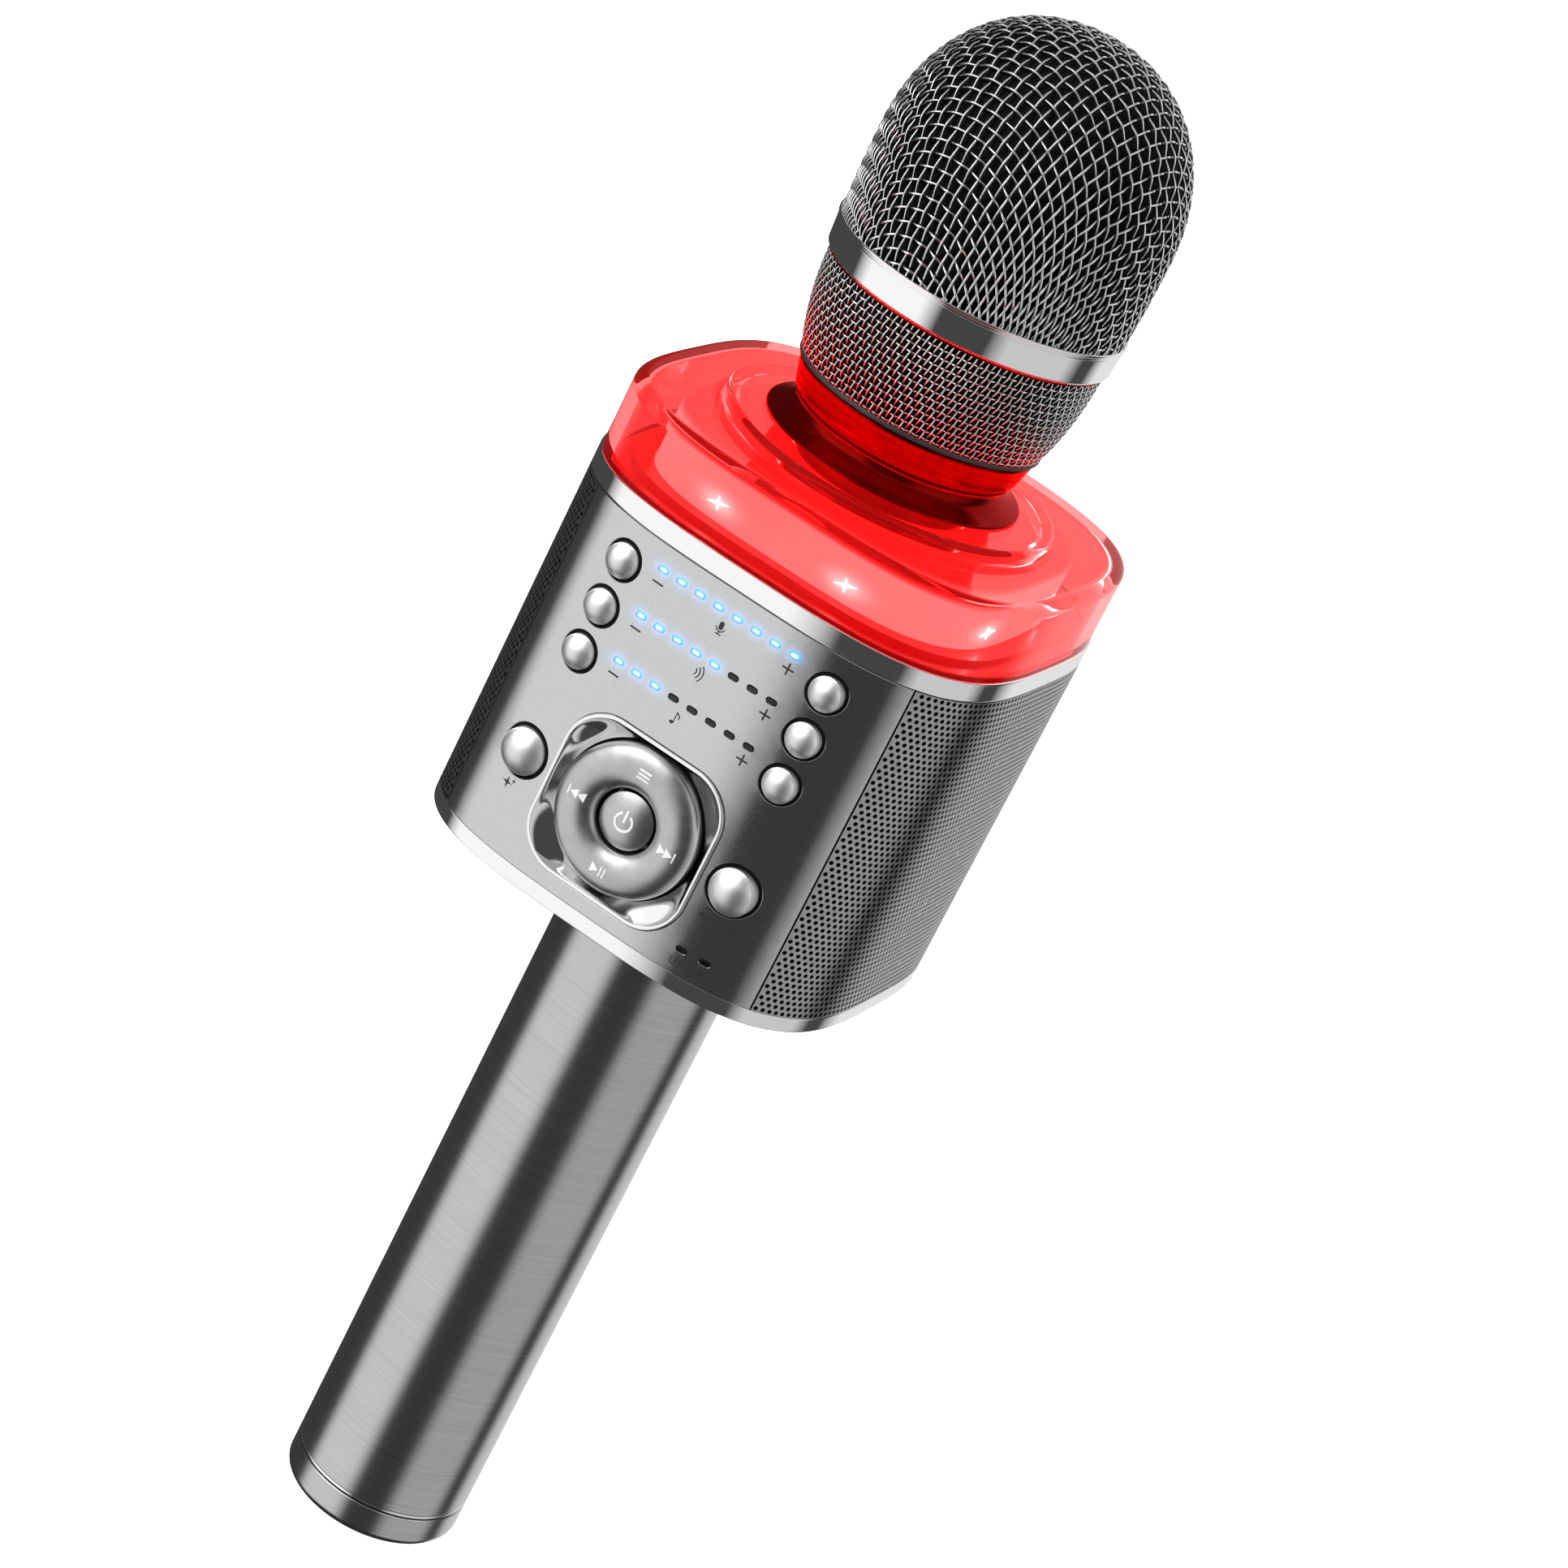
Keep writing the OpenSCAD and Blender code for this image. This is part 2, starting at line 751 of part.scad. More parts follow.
module aux_jack() {
    color("black") difference() {
        union() {
            translate([aux_x - 3.1, port_face - 15.2, port_level - 3]) cube([6.2, 12.6, 6]);
            rod_y(aux_x, port_level, port_face - 3, port_face, 2.9);
        }
        rod_y(aux_x, port_level, port_face - jack_bore_len, port_face + over, jack_bore_r);
    }
}

module usb_socket() {
    color("silver") {
        difference() {
            pill(usb_x, port_level, port_face - 7.3, port_face, 9, 3.3);
            pill(usb_x, port_level, port_face - 6.3, port_face + over, 8.3, 2.6);
        }
        translate([usb_x - 3.3, port_face - 6.4, port_level - 0.35]) cube([6.6, 5, 0.7]);
    }
}

module card_slot() {
    color("silver") difference() {
        translate([card_x - 6.6, port_face - 13, port_level - 1.1]) cube([13.2, 12.2, 2.2]);
        translate([card_x - 5.5, port_face - 12, port_level - 0.45]) cube([11, 14, 0.9]);
    }
}

// ---- Light ring ----

// A slab with the body's outline and a rounded upper rim
module round_slab(inset, z0, z1, rim) {
    hull() {
        slab(inset, z0, z1 - rim);
        slab(inset + rim * 0.13, z1 - rim, z1 - rim * 0.5);
        slab(inset + rim * 0.5, z1 - rim, z1 - rim * 0.13);
        slab(inset + rim, z1 - rim, z1);
    }
}

module light_cover() {
    color("red", 0.6) difference() {
        union() {
            round_slab(0.3, body_top, cover_top, 1.6);
            rod_z(cover_top - 1, tier_top, tier_r);
        }
        slab(0.3 + cover_wall, body_top - over, cover_top - cover_wall);
        rod_z(cover_top - 2, tier_top - cover_wall, tier_r - cover_wall);
        rod_z(cover_top - 5, tier_top + over, sleeve_r + 0.3);
    }
}

module light_diffuser() {
    low = led_board_z + led_board_t;
    high = cover_top - cover_wall - 0.6;
    color("pink") difference() {
        slab(7.5, low, high);
        slab(8.7, low - over, high - 1.2);
        rod_z(high - 3, high + over, sleeve_r + 0.3);
    }
}

module led_board() {
    color("white") difference() {
        slab(5, led_board_z, led_board_z + led_board_t);
        rod_z(led_board_z - over, led_board_z + led_board_t + over, sleeve_r + 0.3);
    }
}

module light_leds() {
    color("lightyellow") for (i = [0:light_led_count - 1]) {
        rotate([0, 0, 360 * (i + 0.5) / light_led_count])
            translate([light_led_r - 1.6, -1.6, led_board_z + led_board_t]) cube([3.2, 3.2, 1.4]);
    }
}

// ---- Neck and capsule ----

module neck_collar() {
    profile = [[neck_bore_r, deck_top], [sleeve_r, deck_top], [sleeve_r, tier_top + 0.1],
               [head_low_r + 1, tier_top + 0.1], [head_low_r + 0.8, tier_top + 0.5],
               [head_low_r - 1, tier_top + 1.1], [head_low_r - 2.4, tier_top + 1.9],
               [head_low_r - 2.9, tier_top + 2.5], [head_low_r - 2.9, tier_top + 3.6],
               [head_low_r - 1.9, tier_top + 4], [head_low_r - 0.5, head_z - 0.4],
               [head_low_r - 0.7, head_z - 0.2], [thread_r, head_z - 0.2],
               [thread_r, head_z + thread_h], [neck_bore_r, head_z + thread_h]];
    color("red") rotate_extrude() polygon(profile);
}

module capsule_seat() {
    z0 = head_z - 4;
    color("black") difference() {
        union() {
            rod_z(z0, head_z + 13, neck_bore_r - seat_gap);
            rod_z(head_z + thread_h, head_z + thread_h + 2, 14.5);
        }
        rod_z(z0 - over, head_z + 13 + over, 10.6);
    }
}

module capsule_mount() {
    z0 = head_z + 13;
    color("black") difference() {
        rod_z(z0, z0 + 12, capsule_r + 3);
        rod_z(z0 + 2, z0 + 12 + over, capsule_r);
        rod_z(z0 - over, z0 + 2 + over, 8);
        for (a = [0:60:300]) {
            rotate([0, 0, a]) translate([capsule_r + 2.4, 0, z0 + 4]) cylinder(h = 5, r = 1.2, $fn = 24);
        }
    }
}

module mic_capsule() {
    z0 = head_z + 15;
    color("gold") union() {
        rod_z(z0, z0 + 13, capsule_r - seat_gap);
        rod_z(z0 + 13, z0 + 14, capsule_r - 1);
    }
}

// ---- Head, which unscrews from the neck ----

module thread_ring() {
    color("dimgray") difference() {
        rod_z(head_z + gasket_h, head_z + thread_h, skirt_r(0) - mesh_t - 0.05);
        rod_z(head_z, head_z + thread_h + over, thread_r + fit_gap);
        rod_z(head_z, head_z + gasket_h + 1.5, thread_r + 1.4);
    }
}

module head_oring() {
    color("black") pipe_z(head_z + gasket_h, head_z + gasket_h + 1.4, thread_r + 1.3, thread_r + fit_gap);
}

module gasket_ring() {
    color("black") pipe_z(head_z + 0.1, skirt_z, head_low_r, thread_r + 1.4);
}

module mesh_skirt() {
    color("silver") rotate_extrude()
        polygon(concat(skirt_curve(0), reversed(skirt_curve(mesh_t))));
}

module grille_band() {
    inner = band_low_r - 1.7;
    profile = [[inner, band_z], [band_low_r, band_z], [band_low_r + 0.3, band_z + 0.3],
               [band_top_r, dome_z - 0.7], [band_top_r + 0.1, dome_z - 0.5],
               [band_top_r + 0.1, dome_z - 0.15], [band_top_r - 0.1, dome_z], [inner, dome_z]];
    color("silver") rotate_extrude() polygon(profile);
}

module mesh_dome() {
    color("silver") rotate_extrude()
        polygon(concat(dome_curve(0), reversed(dome_curve(mesh_t))));
}

module foam_windscreen() {
    low = head_z + thread_h + 0.8;
    inner = band_low_r - 1.9;
    shell = mesh_t + 0.2;
    outer = concat([[skirt_r(0.5) - shell, low], [inner, band_z - 0.4], [inner, dome_z + 0.3]],
                   [for (p = dome_curve(shell)) if (p[1] > dome_z + 0.4) p]);
    hollow = concat([[skirt_r(0.5) - shell - foam_t, low], [inner - foam_t, band_z - 0.4]],
                    [for (p = dome_curve(shell + foam_t)) if (p[1] > dome_z + 5) p]);
    color("black") rotate_extrude() polygon(concat(outer, reversed(hollow)));
}

handle_tube();
tail_trim_ring();
tail_cap();
tail_oring();
battery_cell();
battery_cradle();
bottom_cover();
bottom_trim_ring();
inner_frame();
front_panel();
grille_wrap();
top_trim_ring();
top_deck();
case_screws();
control_board();
tact_switches();
display_leds();
led_windows();
pad_bezel();
pad_carrier();
ring_pad();
power_button();
button_mic_minus();
button_mic_plus();
button_echo_minus();
button_echo_plus();
button_music_minus();
button_music_plus();
button_voice();
button_light();
speaker_basket_left();
speaker_basket_right();
speaker_magnet_left();
speaker_magnet_right();
speaker_cone_left();
speaker_cone_right();
speaker_surround_left();
speaker_surround_right();
speaker_screws();
main_board();
port_plate();
aux_jack();
usb_socket();
card_slot();
light_cover();
light_diffuser();
led_board();
light_leds();
neck_collar();
capsule_seat();
capsule_mount();
mic_capsule();
head_oring();
thread_ring();
gasket_ring();
mesh_skirt();
grille_band();
mesh_dome();
foam_windscreen();
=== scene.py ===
"""Looks of the karaoke microphone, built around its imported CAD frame."""
import math

import bpy
import numpy as np
from mathutils import Matrix, Vector
from mathutils.geometry import delaunay_2d_cdt


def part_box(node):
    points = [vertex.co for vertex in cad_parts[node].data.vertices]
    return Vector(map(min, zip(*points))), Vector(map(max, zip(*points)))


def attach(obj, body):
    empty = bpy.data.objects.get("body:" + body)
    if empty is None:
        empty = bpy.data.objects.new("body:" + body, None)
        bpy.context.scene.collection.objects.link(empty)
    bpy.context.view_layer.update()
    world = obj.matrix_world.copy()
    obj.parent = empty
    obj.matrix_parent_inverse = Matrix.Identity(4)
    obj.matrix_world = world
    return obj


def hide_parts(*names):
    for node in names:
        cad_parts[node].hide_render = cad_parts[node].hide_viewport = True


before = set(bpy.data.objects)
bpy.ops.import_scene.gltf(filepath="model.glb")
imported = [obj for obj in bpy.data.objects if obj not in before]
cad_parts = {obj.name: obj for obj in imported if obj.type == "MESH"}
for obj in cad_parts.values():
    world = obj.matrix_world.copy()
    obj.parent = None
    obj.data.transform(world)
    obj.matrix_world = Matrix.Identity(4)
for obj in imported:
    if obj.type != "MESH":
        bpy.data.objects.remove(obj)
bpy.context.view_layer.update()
MM = 0.001
TAU = 2 * math.pi

# ---------------------------------------------------------------- sizes, from the frame

CORNER_POWER = 3.34            # squareness of the body's outline
SKIN = 1.2 * MM
SEAM = 0.15 * MM

low_trim_lo, low_trim_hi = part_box("bottom_trim_ring")
top_trim_lo, top_trim_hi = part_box("top_trim_ring")
HALF_W, HALF_D = low_trim_hi.x, low_trim_hi.y
TRIM_LAP = 1.2 * MM            # how far a bright trim laps over the panel and grille
BODY_Z, SKIN_LOW = low_trim_lo.z, low_trim_hi.z + 0.7 * TRIM_LAP
SKIN_TOP, BODY_TOP = top_trim_lo.z - TRIM_LAP, top_trim_hi.z
PANEL_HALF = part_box("front_panel")[1].x
TUBE_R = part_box("handle_tube")[1].x
TUBE_LOW, TUBE_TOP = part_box("handle_tube")[0].z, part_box("handle_tube")[1].z
TAIL_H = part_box("tail_trim_ring")[0].z - 0.3 * MM
SPIGOT_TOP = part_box("tail_cap")[1].z
TIER_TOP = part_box("light_cover")[1].z
COVER_TOP = TIER_TOP - 2 * MM
TIER_R = 27 * MM
PAD_Z = (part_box("ring_pad")[0].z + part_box("ring_pad")[1].z) / 2
PAD_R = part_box("ring_pad")[1].x
NECK_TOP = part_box("neck_collar")[1].z
GASKET_LOW, GASKET_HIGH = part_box("gasket_ring")[0].z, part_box("gasket_ring")[1].z
HEAD_LOW_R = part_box("gasket_ring")[1].x
BAND_LOW, BAND_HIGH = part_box("grille_band")[0].z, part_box("grille_band")[1].z
BAND_TOP_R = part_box("grille_band")[1].x - 0.1 * MM
BAND_LOW_R = 22.6 * MM
DOME_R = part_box("mesh_dome")[1].x
DOME_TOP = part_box("mesh_dome")[1].z
DOME_LOW_H = 13.3 * MM
WIDE_Z = BAND_HIGH + DOME_LOW_H
DOME_POWER = 2.13
BUTTON_GAP = 0.4 * MM
SMALL_CAP, SMALL_HOLE = 2.72 * MM, 3.25 * MM       # radii of the caps and of their holes in the panel
BIG_CAP, BIG_HOLE = 3.70 * MM, 4.25 * MM
POWER_CAP = 4.5 * MM

SMALL_BUTTONS = ["button_mic_minus", "button_mic_plus", "button_echo_minus", "button_echo_plus",
                 "button_music_minus", "button_music_plus"]
BIG_BUTTONS = ["button_voice", "button_light"]
ROW_LEDS = 8
LED_PITCH = 3.37 * MM
LED_HALF = (0.875 * MM, 0.45 * MM)
LIT_IN_ROW = {"mic": 8, "echo": 5, "music": 3}
ROW_RISE = 2.55 * MM           # a row of lights above its buttons


def node_centre(node):
    """Centre of a CAD node's box, in x and z."""
    low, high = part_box(node)
    return (low.x + high.x) / 2, (low.z + high.z) / 2


# ---------------------------------------------------------------- surfaces

def body_ring(inset, count=240):
    """The body's rounded-square outline, moved inwards by inset, as x and y."""
    angle = np.arange(count) * TAU / count
    return body_at(inset, angle)


def body_at(inset, angle):
    """Points of the body's outline in the directions angle."""
    c, s = np.cos(angle), np.sin(angle)
    rho = (np.abs(c / (HALF_W - inset)) ** CORNER_POWER
           + np.abs(s / (HALF_D - inset)) ** CORNER_POWER) ** (-1 / CORNER_POWER)
    return np.stack([rho * c, rho * s], 1)


def circle_ring(radius, count=240):
    angle = np.arange(count) * TAU / count
    return np.stack([radius * np.cos(angle), radius * np.sin(angle)], 1)


def front_y(x):
    """The front panel's outer surface at a distance x from its centre line."""
    return -HALF_D * (1 - np.abs(np.asarray(x) / HALF_W) ** CORNER_POWER) ** (1 / CORNER_POWER)


def front_surface(u, v, depth):
    """A point of the panel's surface, sunk by depth along the surface's normal."""
    y = front_y(u)
    nx = np.sign(u) * np.abs(u / HALF_W) ** (CORNER_POWER - 1) / HALF_W
    ny = -np.abs(y / HALF_D) ** (CORNER_POWER - 1) / HALF_D
    length = np.hypot(nx, ny)
    return np.stack([u - depth * nx / length, y - depth * ny / length, v], 1)


def dome_radius(z):
    """Radius of the wire dome at height z above its widest level."""
    u = np.clip((z - WIDE_Z) / (DOME_TOP - WIDE_Z), 0, 1)
    return DOME_R * np.maximum(0, 1 - u ** DOME_POWER) ** (1 / DOME_POWER)


def skirt_radius(z):
    v = np.clip((z - GASKET_HIGH) / (BAND_LOW - GASKET_HIGH), 0, 1)
    return HEAD_LOW_R + (BAND_LOW_R - 0.2 * MM - HEAD_LOW_R) * np.sin(math.pi / 2 * v ** 0.85)


# ---------------------------------------------------------------- mesh building

WEIGHTED_LIMIT = 60000         # faces, above which a mesh keeps plain smooth normals


def make_object(name, verts, faces, material, body, smooth=35, slot=None):
    """A mesh object that rides on a CAD body, shaded smooth up to an angle in degrees."""
    mesh = bpy.data.meshes.new(name)
    mesh.from_pydata([tuple(v) for v in np.asarray(verts, float)], [], [tuple(f) for f in faces])
    mesh.validate(clean_customdata=False)
    mesh.polygons.foreach_set("use_smooth", [True] * len(mesh.polygons))
    mesh.set_sharp_from_angle(angle=math.radians(smooth))
    mesh.materials.append(material)
    obj = bpy.data.objects.new(name, mesh)
    bpy.context.scene.collection.objects.link(obj)
    if len(mesh.polygons) < WEIGHTED_LIMIT:
        weighted = obj.modifiers.new("flat_faces_first", "WEIGHTED_NORMAL")
        weighted.keep_sharp = True
    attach(obj, body)
    return obj


def soften(points, radius, steps=4):
    """Rounds the corners of a closed outline. radius is one number, or one for each point."""
    pts = np.asarray(points, float)
    radii = np.broadcast_to(np.asarray(radius, float), (len(pts),))
    out = []
    for i, p in enumerate(pts):
        before, after = pts[i - 1] - p, pts[(i + 1) % len(pts)] - p
        lb, la = np.linalg.norm(before), np.linalg.norm(after)
        r = min(radii[i], 0.45 * lb, 0.45 * la)
        if r < 1e-7:
            out.append(p)
            continue
        a, b = p + before / lb * r, p + after / la * r
        for k in range(steps + 1):
            t = k / steps
            out.append((1 - t) ** 2 * a + 2 * t * (1 - t) * p + t ** 2 * b)
    return np.array(out)


def loft(rings, closed=True):
    """Skins a list of rings, each an array of 3D points. A closed loft joins its last ring to its first."""
    count = len(rings[0])
    verts = np.concatenate(rings)
    index = np.arange(count)
    following = (index + 1) % count
    faces = []
    last = len(rings) if closed else len(rings) - 1
    for k in range(last):
        a, b = k * count, ((k + 1) % len(rings)) * count
        faces.append(np.stack([a + index, a + following, b + following, b + index], 1))
    return verts, np.concatenate(faces).tolist()


def flat_ring(xy, z):
    return np.column_stack([xy, np.full(len(xy), z)])


def body_loft(profile, count=240):
    """A closed band that follows the body: profile is a list of (inset, z)."""
    return loft([flat_ring(body_ring(inset, count), z) for inset, z in profile])


def lathe(profile, count=192):
    """A closed profile of (radius, z), turned about the Z axis. Points on the axis become caps."""
    return loft([flat_ring(circle_ring(max(r, 1e-6), count), z) for r, z in profile])


def solid_lathe(profile, count=192):
    """An open profile from axis to axis, turned about Z."""
    inner = profile[1:-1]
    verts, faces = loft([flat_ring(circle_ring(r, count), z) for r, z in inner], closed=False)
    first, final = len(verts), len(verts) + 1
    verts = np.vstack([verts, [0, 0, profile[0][1]], [0, 0, profile[-1][1]]])
    last_ring = (len(inner) - 1) * count
    for i in range(count):
        j = (i + 1) % count
        faces.append([first, j, i])
        faces.append([final, last_ring + i, last_ring + j])
    return verts, faces


def face_front(verts, x, z):
    """Lays a shape turned about Z so that its axis points out of the panel, along -Y."""
    verts = np.asarray(verts)
    return np.column_stack([verts[:, 0] + x, -verts[:, 2], verts[:, 1] + z])


def join(shapes):
    """Joins (verts, faces) shapes into one."""
    verts, faces, start = [], [], 0
    for v, f in shapes:
        verts.append(np.asarray(v))
        faces.extend([[i + start for i in face] for face in f])
        start += len(v)
    return np.concatenate(verts), faces


def inside_loop(points, loop):
    """Which points lie inside a closed 2D loop."""
    x, y = points[:, 0][:, None], points[:, 1][:, None]
    ax, ay = loop[:, 0][None], loop[:, 1][None]
    bx, by = np.roll(loop[:, 0], -1)[None], np.roll(loop[:, 1], -1)[None]
    crosses = (ay > y) != (by > y)
    at = (bx - ax) * (y - ay) / np.where(by == ay, 1e-12, by - ay) + ax
    return (np.sum(crosses & (x < at), 1) % 2) == 1


def triangulate(outline, holes, spacing=None):
    """Triangles of a 2D region with holes. Returns points, whose first ones are the loops in order, and triangles."""
    loops = [outline] + holes
    points = np.concatenate(loops)
    edges, start = [], 0
    for loop in loops:
        n = len(loop)
        edges += [(start + i, start + (i + 1) % n) for i in range(n)]
        start += n
    if spacing:
        low, high = outline.min(0), outline.max(0)
        gu, gv = np.meshgrid(np.arange(low[0] + spacing / 2, high[0], spacing),
                             np.arange(low[1] + spacing / 2, high[1], spacing))
        grid = np.stack([gu.ravel(), gv.ravel()], 1)
        keep = inside_loop(grid, outline)
        for hole in holes:
            keep &= ~inside_loop(grid, hole)
        grid = grid[keep]
        near = np.min(np.linalg.norm(grid[:, None] - points[None, ::2], axis=2), 1) < spacing * 0.35
        points = np.concatenate([points, grid[~near]])
    scale = 1000.0
    result = delaunay_2d_cdt([Vector(p * scale) for p in points], edges, [], 0, 1e-7)
    out = np.array([tuple(v) for v in result[0]]) / scale
    triangles = np.array([list(f) for f in result[2]])
    centre = out[triangles].mean(1)
    keep = inside_loop(centre, outline)
    for hole in holes:
        keep &= ~inside_loop(centre, hole)
    origin = [group[0] if group else -1 for group in result[3]]
    back = {o: i for i, o in enumerate(origin)}
    order = np.array([back[i] for i in range(len(points))])
    inverse = np.empty(len(out), int)
    inverse[order] = np.arange(len(points))
    return points, inverse[triangles[keep]]


def pierced_plate(outline, holes, surface, thick, edge, spacing=None, raised=0.0):
    """A curved plate with true holes and a small bevel. outline(g) and holes[i](g) give loops grown by g."""
    loops_top = [outline(-edge)] + [hole(edge) for hole in holes]
    points, triangles = triangulate(loops_top[0], loops_top[1:], spacing)
    true = np.concatenate([outline(0)] + [hole(0) for hole in holes] + [points[sum(map(len, loops_top)):]])
    rim = sum(map(len, loops_top))
    top = surface(points[:, 0], points[:, 1], -raised)
    mid = surface(true[:rim, 0], true[:rim, 1], edge - raised)
    low = surface(true[:, 0], true[:, 1], thick)
    a, b = len(top), len(top) + len(mid)
    p = top[triangles]
    flipped = np.cross(p[:, 1] - p[:, 0], p[:, 2] - p[:, 0])[:, 1].mean() > 0
    front = triangles[:, ::-1] if flipped else triangles
    faces = front.tolist() + (front[:, ::-1] + b).tolist()
    start = 0
    for k, loop in enumerate(loops_top):
        n = len(loop)
        for i in range(n):
            j = (i + 1) % n
            for above, below in ((0, a), (a, b)):
                quad = [above + start + i, above + start + j, below + start + j, below + start + i]
                faces.append(quad if k else quad[::-1])
        start += n
    return np.concatenate([top, mid, low]), faces


def circle_loop(u, v, radius, count=40):
    def loop(grow):
        angle = np.arange(count) * TAU / count
        return np.stack([u + (radius + grow) * np.cos(angle), v + (radius + grow) * np.sin(angle)], 1)
    return loop


def rounded_loop(u, v, half_u, half_v, corner, count=8):
    """A rectangle with round corners, with count segments on each corner."""
    def loop(grow):
        r = corner + grow
        out = []
        for k, (su, sv) in enumerate(((1, 1), (-1, 1), (-1, -1), (1, -1))):
            cu, cv = u + su * (half_u - corner), v + sv * (half_v - corner)
            for i in range(count + 1):
                t = math.pi / 2 * (k + i / count)
                out.append((cu + r * math.cos(t), cv + r * math.sin(t)))
        pts = np.array(out)
        gap = np.linalg.norm(pts - np.roll(pts, 1, 0), axis=1)
        return pts[gap > 1e-7]
    return loop


def box_loop(low_u, low_v, high_u, high_v, spacing):
    def loop(grow):
        lu, lv, hu, hv = low_u - grow, low_v - grow, high_u + grow, high_v + grow
        nu = max(1, round((high_u - low_u) / spacing))
        nv = max(1, round((high_v - low_v) / spacing))
        bottom = [(lu + (hu - lu) * i / nu, lv) for i in range(nu)]
        right = [(hu, lv + (hv - lv) * i / nv) for i in range(nv)]
        top = [(hu - (hu - lu) * i / nu, hv) for i in range(nu)]
        left = [(lu, hv - (hv - lv) * i / nv) for i in range(nv)]
        return np.array(bottom + right + top + left)
    return loop


# ---------------------------------------------------------------- materials

def shader(name, color, metallic=0.0, rough=0.4, **sockets):
    """A Principled material. Further sockets are given by name with _ for a space."""
    mat = bpy.data.materials.new(name)
    mat.use_nodes = True
    principled = mat.node_tree.nodes["Principled BSDF"]
    principled.inputs["Base Color"].default_value = (*color, 1)
    principled.inputs["Metallic"].default_value = metallic
    principled.inputs["Roughness"].default_value = rough
    for key, value in sockets.items():
        principled.inputs[key.replace("_", " ")].default_value = value
    return mat, mat.node_tree, principled


def noise(tree, scale, stretch=(1, 1, 1), detail=4.0, rough=0.55):
    """A noise texture in the shared frame; stretch multiplies the coordinates."""
    coords = tree.nodes.new("ShaderNodeTexCoord")
    mapping = tree.nodes.new("ShaderNodeMapping")
    mapping.inputs["Scale"].default_value = stretch
    texture = tree.nodes.new("ShaderNodeTexNoise")
    texture.inputs["Scale"].default_value = scale
    texture.inputs["Detail"].default_value = detail
    texture.inputs["Roughness"].default_value = rough
    tree.links.new(coords.outputs["Object"], mapping.inputs["Vector"])
    tree.links.new(mapping.outputs["Vector"], texture.inputs["Vector"])
    return texture.outputs["Fac"]


def remap(tree, value, low, high, from_low=0.3, from_high=0.7):
    node = tree.nodes.new("ShaderNodeMapRange")
    node.inputs["From Min"].default_value = from_low
    node.inputs["From Max"].default_value = from_high
    node.inputs["To Min"].default_value = low
    node.inputs["To Max"].default_value = high
    tree.links.new(value, node.inputs["Value"])
    return node.outputs["Result"]


def tint(tree, value, dark, light):
    """A colour between dark and light."""
    ramp = tree.nodes.new("ShaderNodeValToRGB")
    ramp.color_ramp.elements[0].position = 0.3
    ramp.color_ramp.elements[1].position = 0.7
    ramp.color_ramp.elements[0].color = (*dark, 1)
    ramp.color_ramp.elements[1].color = (*light, 1)
    tree.links.new(value, ramp.inputs["Fac"])
    return ramp.outputs["Color"]


def bump(tree, principled, value, strength, distance=0.0001):
    node = tree.nodes.new("ShaderNodeBump")
    node.inputs["Strength"].default_value = strength
    node.inputs["Distance"].default_value = distance
    tree.links.new(value, node.inputs["Height"])
    tree.links.new(node.outputs["Normal"], principled.inputs["Normal"])


def varied(name, dark, light, metallic, rough, scale, relief=0.0, **sockets):
    """A material whose colour, roughness and relief vary with one noise."""
    mat, tree, principled = shader(name, light, metallic, rough[0], **sockets)
    fac = noise(tree, scale)
    tree.links.new(tint(tree, fac, dark, light), principled.inputs["Base Color"])
    tree.links.new(remap(tree, fac, rough[0], rough[1]), principled.inputs["Roughness"])
    if relief:
        bump(tree, principled, fac, relief)
    return mat


def brushed_tube():
    """Dark anodised aluminium, brushed round the Z axis, with a few longer scratches."""
    mat, tree, principled = shader("brushed_tube", (0.5, 0.5, 0.51), 1.0, 0.2)
    fine = noise(tree, 1.0, (70, 70, 16000), 3.0, 0.6)
    streak = noise(tree, 1.0, (40, 40, 5200), 2.0, 0.5)
    tree.links.new(tint(tree, streak, (0.49, 0.49, 0.50), (0.57, 0.57, 0.58)), principled.inputs["Base Color"])
    tree.links.new(remap(tree, fine, 0.15, 0.24), principled.inputs["Roughness"])
    bump(tree, principled, fine, 0.10, 0.00002)
    return mat


def chrome():
    """Bright chrome with faint smears in its gloss."""
    level, rough = 0.92, 0.045
    mat, tree, principled = shader("chrome", (level, level, level * 1.01), 1.0, rough)
    smear = noise(tree, 260, detail=3.0)
    tree.links.new(remap(tree, smear, rough * 0.6, rough * 1.8), principled.inputs["Roughness"])
    return mat


def emissive(name, color, strength, base=(0.8, 0.9, 1.0)):
    """A lit plastic lens whose glow is slightly cloudy."""
    mat, tree, principled = shader(name, base, 0.0, 0.3)
    principled.inputs["Emission Color"].default_value = (*color, 1)
    cloudy = remap(tree, noise(tree, 900), strength * 0.9, strength * 1.1)
    tree.links.new(cloudy, principled.inputs["Emission Strength"])
    return mat


def clear_red():
    """Clear red acrylic of the light cover, with a faint painted red glow: it emits a little red light though it is no
    lamp.
    """
    mat, tree, principled = shader("clear_red", (1.0, 0.13, 0.13), 0.0, 0.02, IOR=1.20, Emission_Strength=0.07,
                                   Specular_Tint=(1.0, 0.4, 0.4, 1))
    principled.inputs["Transmission Weight"].default_value = 1.0
    # painted light: the faint red emission stands in for light of the ring lights inside the cover
    principled.inputs["Emission Color"].default_value = (1.0, 0.02, 0.02, 1)
    swirl = noise(tree, 90, detail=2.0)
    tree.links.new(remap(tree, swirl, 0.0, 0.03), principled.inputs["Roughness"])
    return mat


